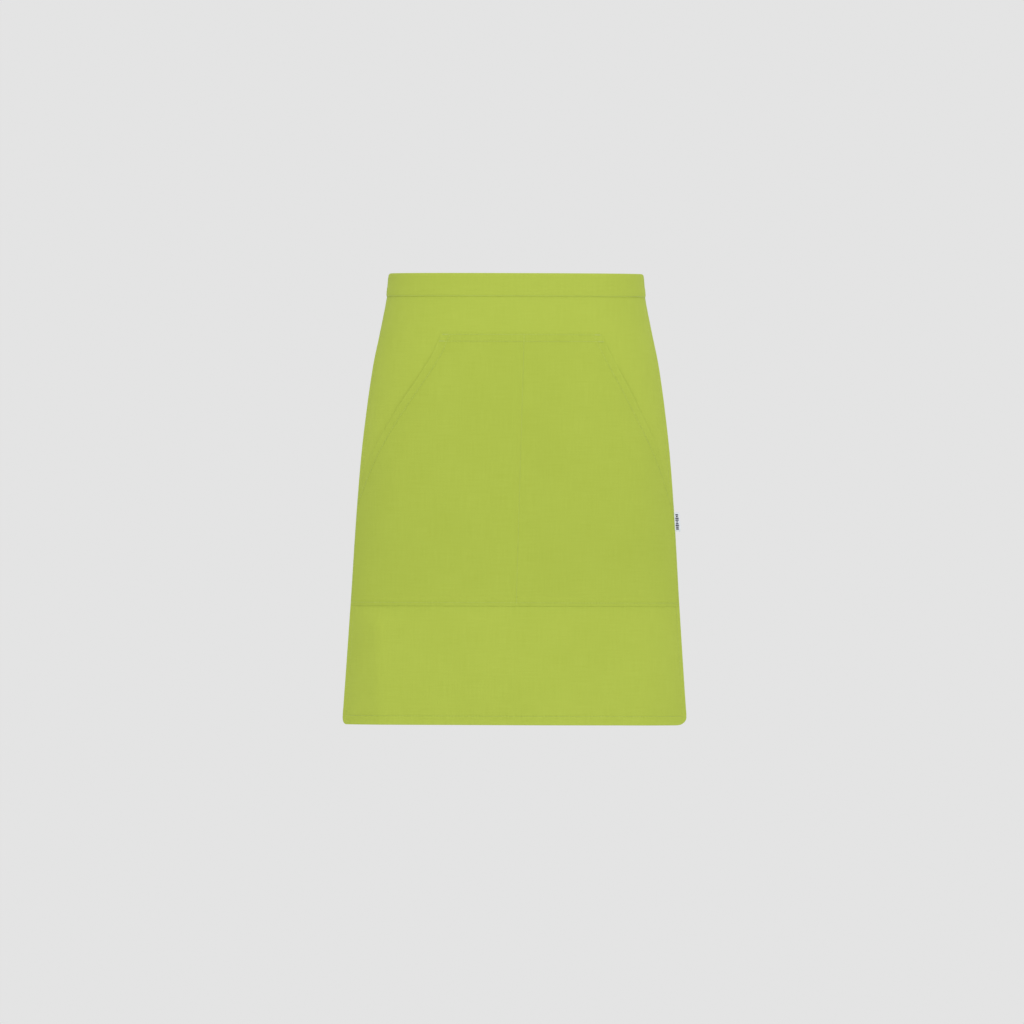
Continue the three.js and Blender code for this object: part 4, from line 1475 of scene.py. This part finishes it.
# %% The sizes that the cloth was cut to
cut_width = 2 * float(length_at(apron_length))
cut_length = apron_length - panel_start
pocket_width = 2 * (float(length_at(pocket_bottom)) - pocket_inset)
pocket_height = pocket_bottom - pocket_top
share_down = np.linspace(0, 1, 400)
panel_area = 2 * float(length_at(panel_start + share_down * cut_length).mean()) * cut_length
pocket_down = pocket_top + share_down * pocket_height
side_edge = length_at(pocket_down) - pocket_inset
pocket_area = sum(float(np.minimum(mouth_line(side, pocket_down), side_edge).mean())
                  for side in both_sides) * pocket_height
tie_reach = float(path_length(back_ring(1, tie_inset + tie_width / 2))[-1])
loop_strip = 230 * mm
label_strip = 2 * (label_caught + label_bend + label_reach)
print("the panel was cut from", round(panel_area, 4), "m2, the pocket from",
      round(pocket_area, 4), "m2")

# %% Name what each piece replaces and how it was cut
sheets = [
    (panel, "front_panel", "panel_twill", (cut_width, cut_length), "hung", [], panel_area,
     [panel_stitches]),
    (band, "waistband", "band_twill", (2 * float(length_at(0)), 2 * band_height), "folded",
     [panel], None, [band_stitches]),
    (pocket, "pocket", "pocket_twill", (pocket_width, pocket_height), "hung", [panel],
     pocket_area, [pocket_stitches, divide_stitches, bartacks]),
]
sheets += [
    (piece, node, "tie_twill", (tie_width, reach), held, [holder], None, [])
    for piece, node, reach, held, holder in (
        (tie_left, "tie_left", tie_reach, "stretched", band),
        (tie_right, "tie_right", tie_reach, "stretched", band),
        (loop_left, "bow_loop_left", loop_strip, "hung", knot),
        (loop_right, "bow_loop_right", loop_strip, "hung", knot),
        (tail_left, "tie_tail_left", tails[-1], "hung", knot),
        (tail_right, "tie_tail_right", tails[1], "hung", knot),
    )
]
sheets.append((label, "side_label", "label_weave", (label_height, label_strip), "folded",
               [panel], None, []))
for piece, node, material_slot, flat, held, rests_on, area, with_pieces in sheets:
    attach(piece, "root")
    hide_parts(node)
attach(knot, "root")
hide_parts("bow_knot")
sewing_pieces = (panel_stitches, band_stitches, pocket_stitches, divide_stitches, bartacks,
                 tie_stitches, bow_stitches)
for piece in sewing_pieces:
    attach(piece, "root")
print(len(sheets), "sheets, a knot and", len(sewing_pieces), "pieces of sewing")

# %% [markdown]
# ## Floor, light and camera
#
# A product photo of this kind has even light from everywhere. Pale surroundings give it.
# A large key from the front and above, a little to the right, shows the folds, so the left
# side falls off a little. A softer light over the top lifts the waistband, and two faint
# fills keep the side and the back readable in the turned views. The camera is far off with
# a long lens, nearly level, and looks straight at the front. The floor is a waist's height
# below the apron and out of the main view.

# %% Floor
floor_height = -1.05
floor_reach = 5
turn = np.linspace(0, 2 * math.pi, 97)[:-1]
ring = [(floor_reach * math.cos(a), floor_reach * math.sin(a), floor_height) for a in turn]
floor_mesh = bpy.data.meshes.new("floor")
floor_mesh.from_pydata(ring, [], [tuple(range(len(ring)))])
floor = bpy.data.objects.new("floor", floor_mesh)
bpy.context.scene.collection.objects.link(floor)
floor_paint = bpy.data.materials.new("Pale floor")
floor_paint.use_nodes = True
paint = floor_paint.node_tree.nodes["Principled BSDF"]
paint.inputs["Base Color"].default_value = (0.86, 0.86, 0.86, 1)
paint.inputs["Roughness"].default_value = 0.9
floor_mesh.materials.append(floor_paint)
print("the floor lies at", floor_height, "m")

# %% Light
surround = bpy.data.worlds.new("Pale surroundings")
surround.use_nodes = True
background = surround.node_tree.nodes["Background"]
background.inputs["Color"].default_value = (1.0, 1.0, 1.0, 1)
background.inputs["Strength"].default_value = 0.775
bpy.context.scene.world = surround
softboxes = [
    {"name": "key", "place": (0.5, -3.2, 1.35), "aim": (0, 0, -0.25), "size": 1.6,
     "power": 30.7},
    {"name": "top", "place": (-0.7, -1.2, 2.8), "aim": (0, 0, -0.1), "size": 1.8, "power": 7},
    {"name": "side fill", "place": (3.0, 0.9, 0.6), "aim": (0, 0, -0.25), "size": 1.2,
     "power": 3},
    {"name": "back fill", "place": (0.3, 3.0, 1.6), "aim": (0, 0, -0.2), "size": 1.6,
     "power": 14},
]
for box in softboxes:
    light = bpy.data.lights.new(box["name"], "AREA")
    light.shape = "DISK"
    light.size = box["size"]
    light.energy = box["power"]
    lamp = bpy.data.objects.new(box["name"], light)
    lamp.location = box["place"]
    lamp.rotation_mode = "QUATERNION"
    toward = Vector(box["aim"]) - Vector(box["place"])
    lamp.rotation_quaternion = toward.to_track_quat("-Z", "Y")
    lamp.visible_camera = False
    bpy.context.scene.collection.objects.link(lamp)
print(len(softboxes), "softboxes")

# %% Camera
image_width_m = 1.09035
camera_distance = 24.0
camera_tilt = math.radians(-0.18)
front_of_pocket = 0.05
camera_data = bpy.data.cameras.new("camera")
camera_data.sensor_width = 36
camera_data.lens = camera_distance * camera_data.sensor_width / image_width_m
camera_data.clip_end = 100
camera = bpy.data.objects.new("camera", camera_data)
camera.location = (-0.0036, -camera_distance - front_of_pocket, -0.254)
camera.rotation_euler = (math.pi / 2, camera_tilt, 0)
bpy.context.scene.collection.objects.link(camera)
bpy.context.scene.camera = camera
bpy.context.scene.view_settings.view_transform = "Standard"
print("a lens of", round(camera_data.lens), "mm")
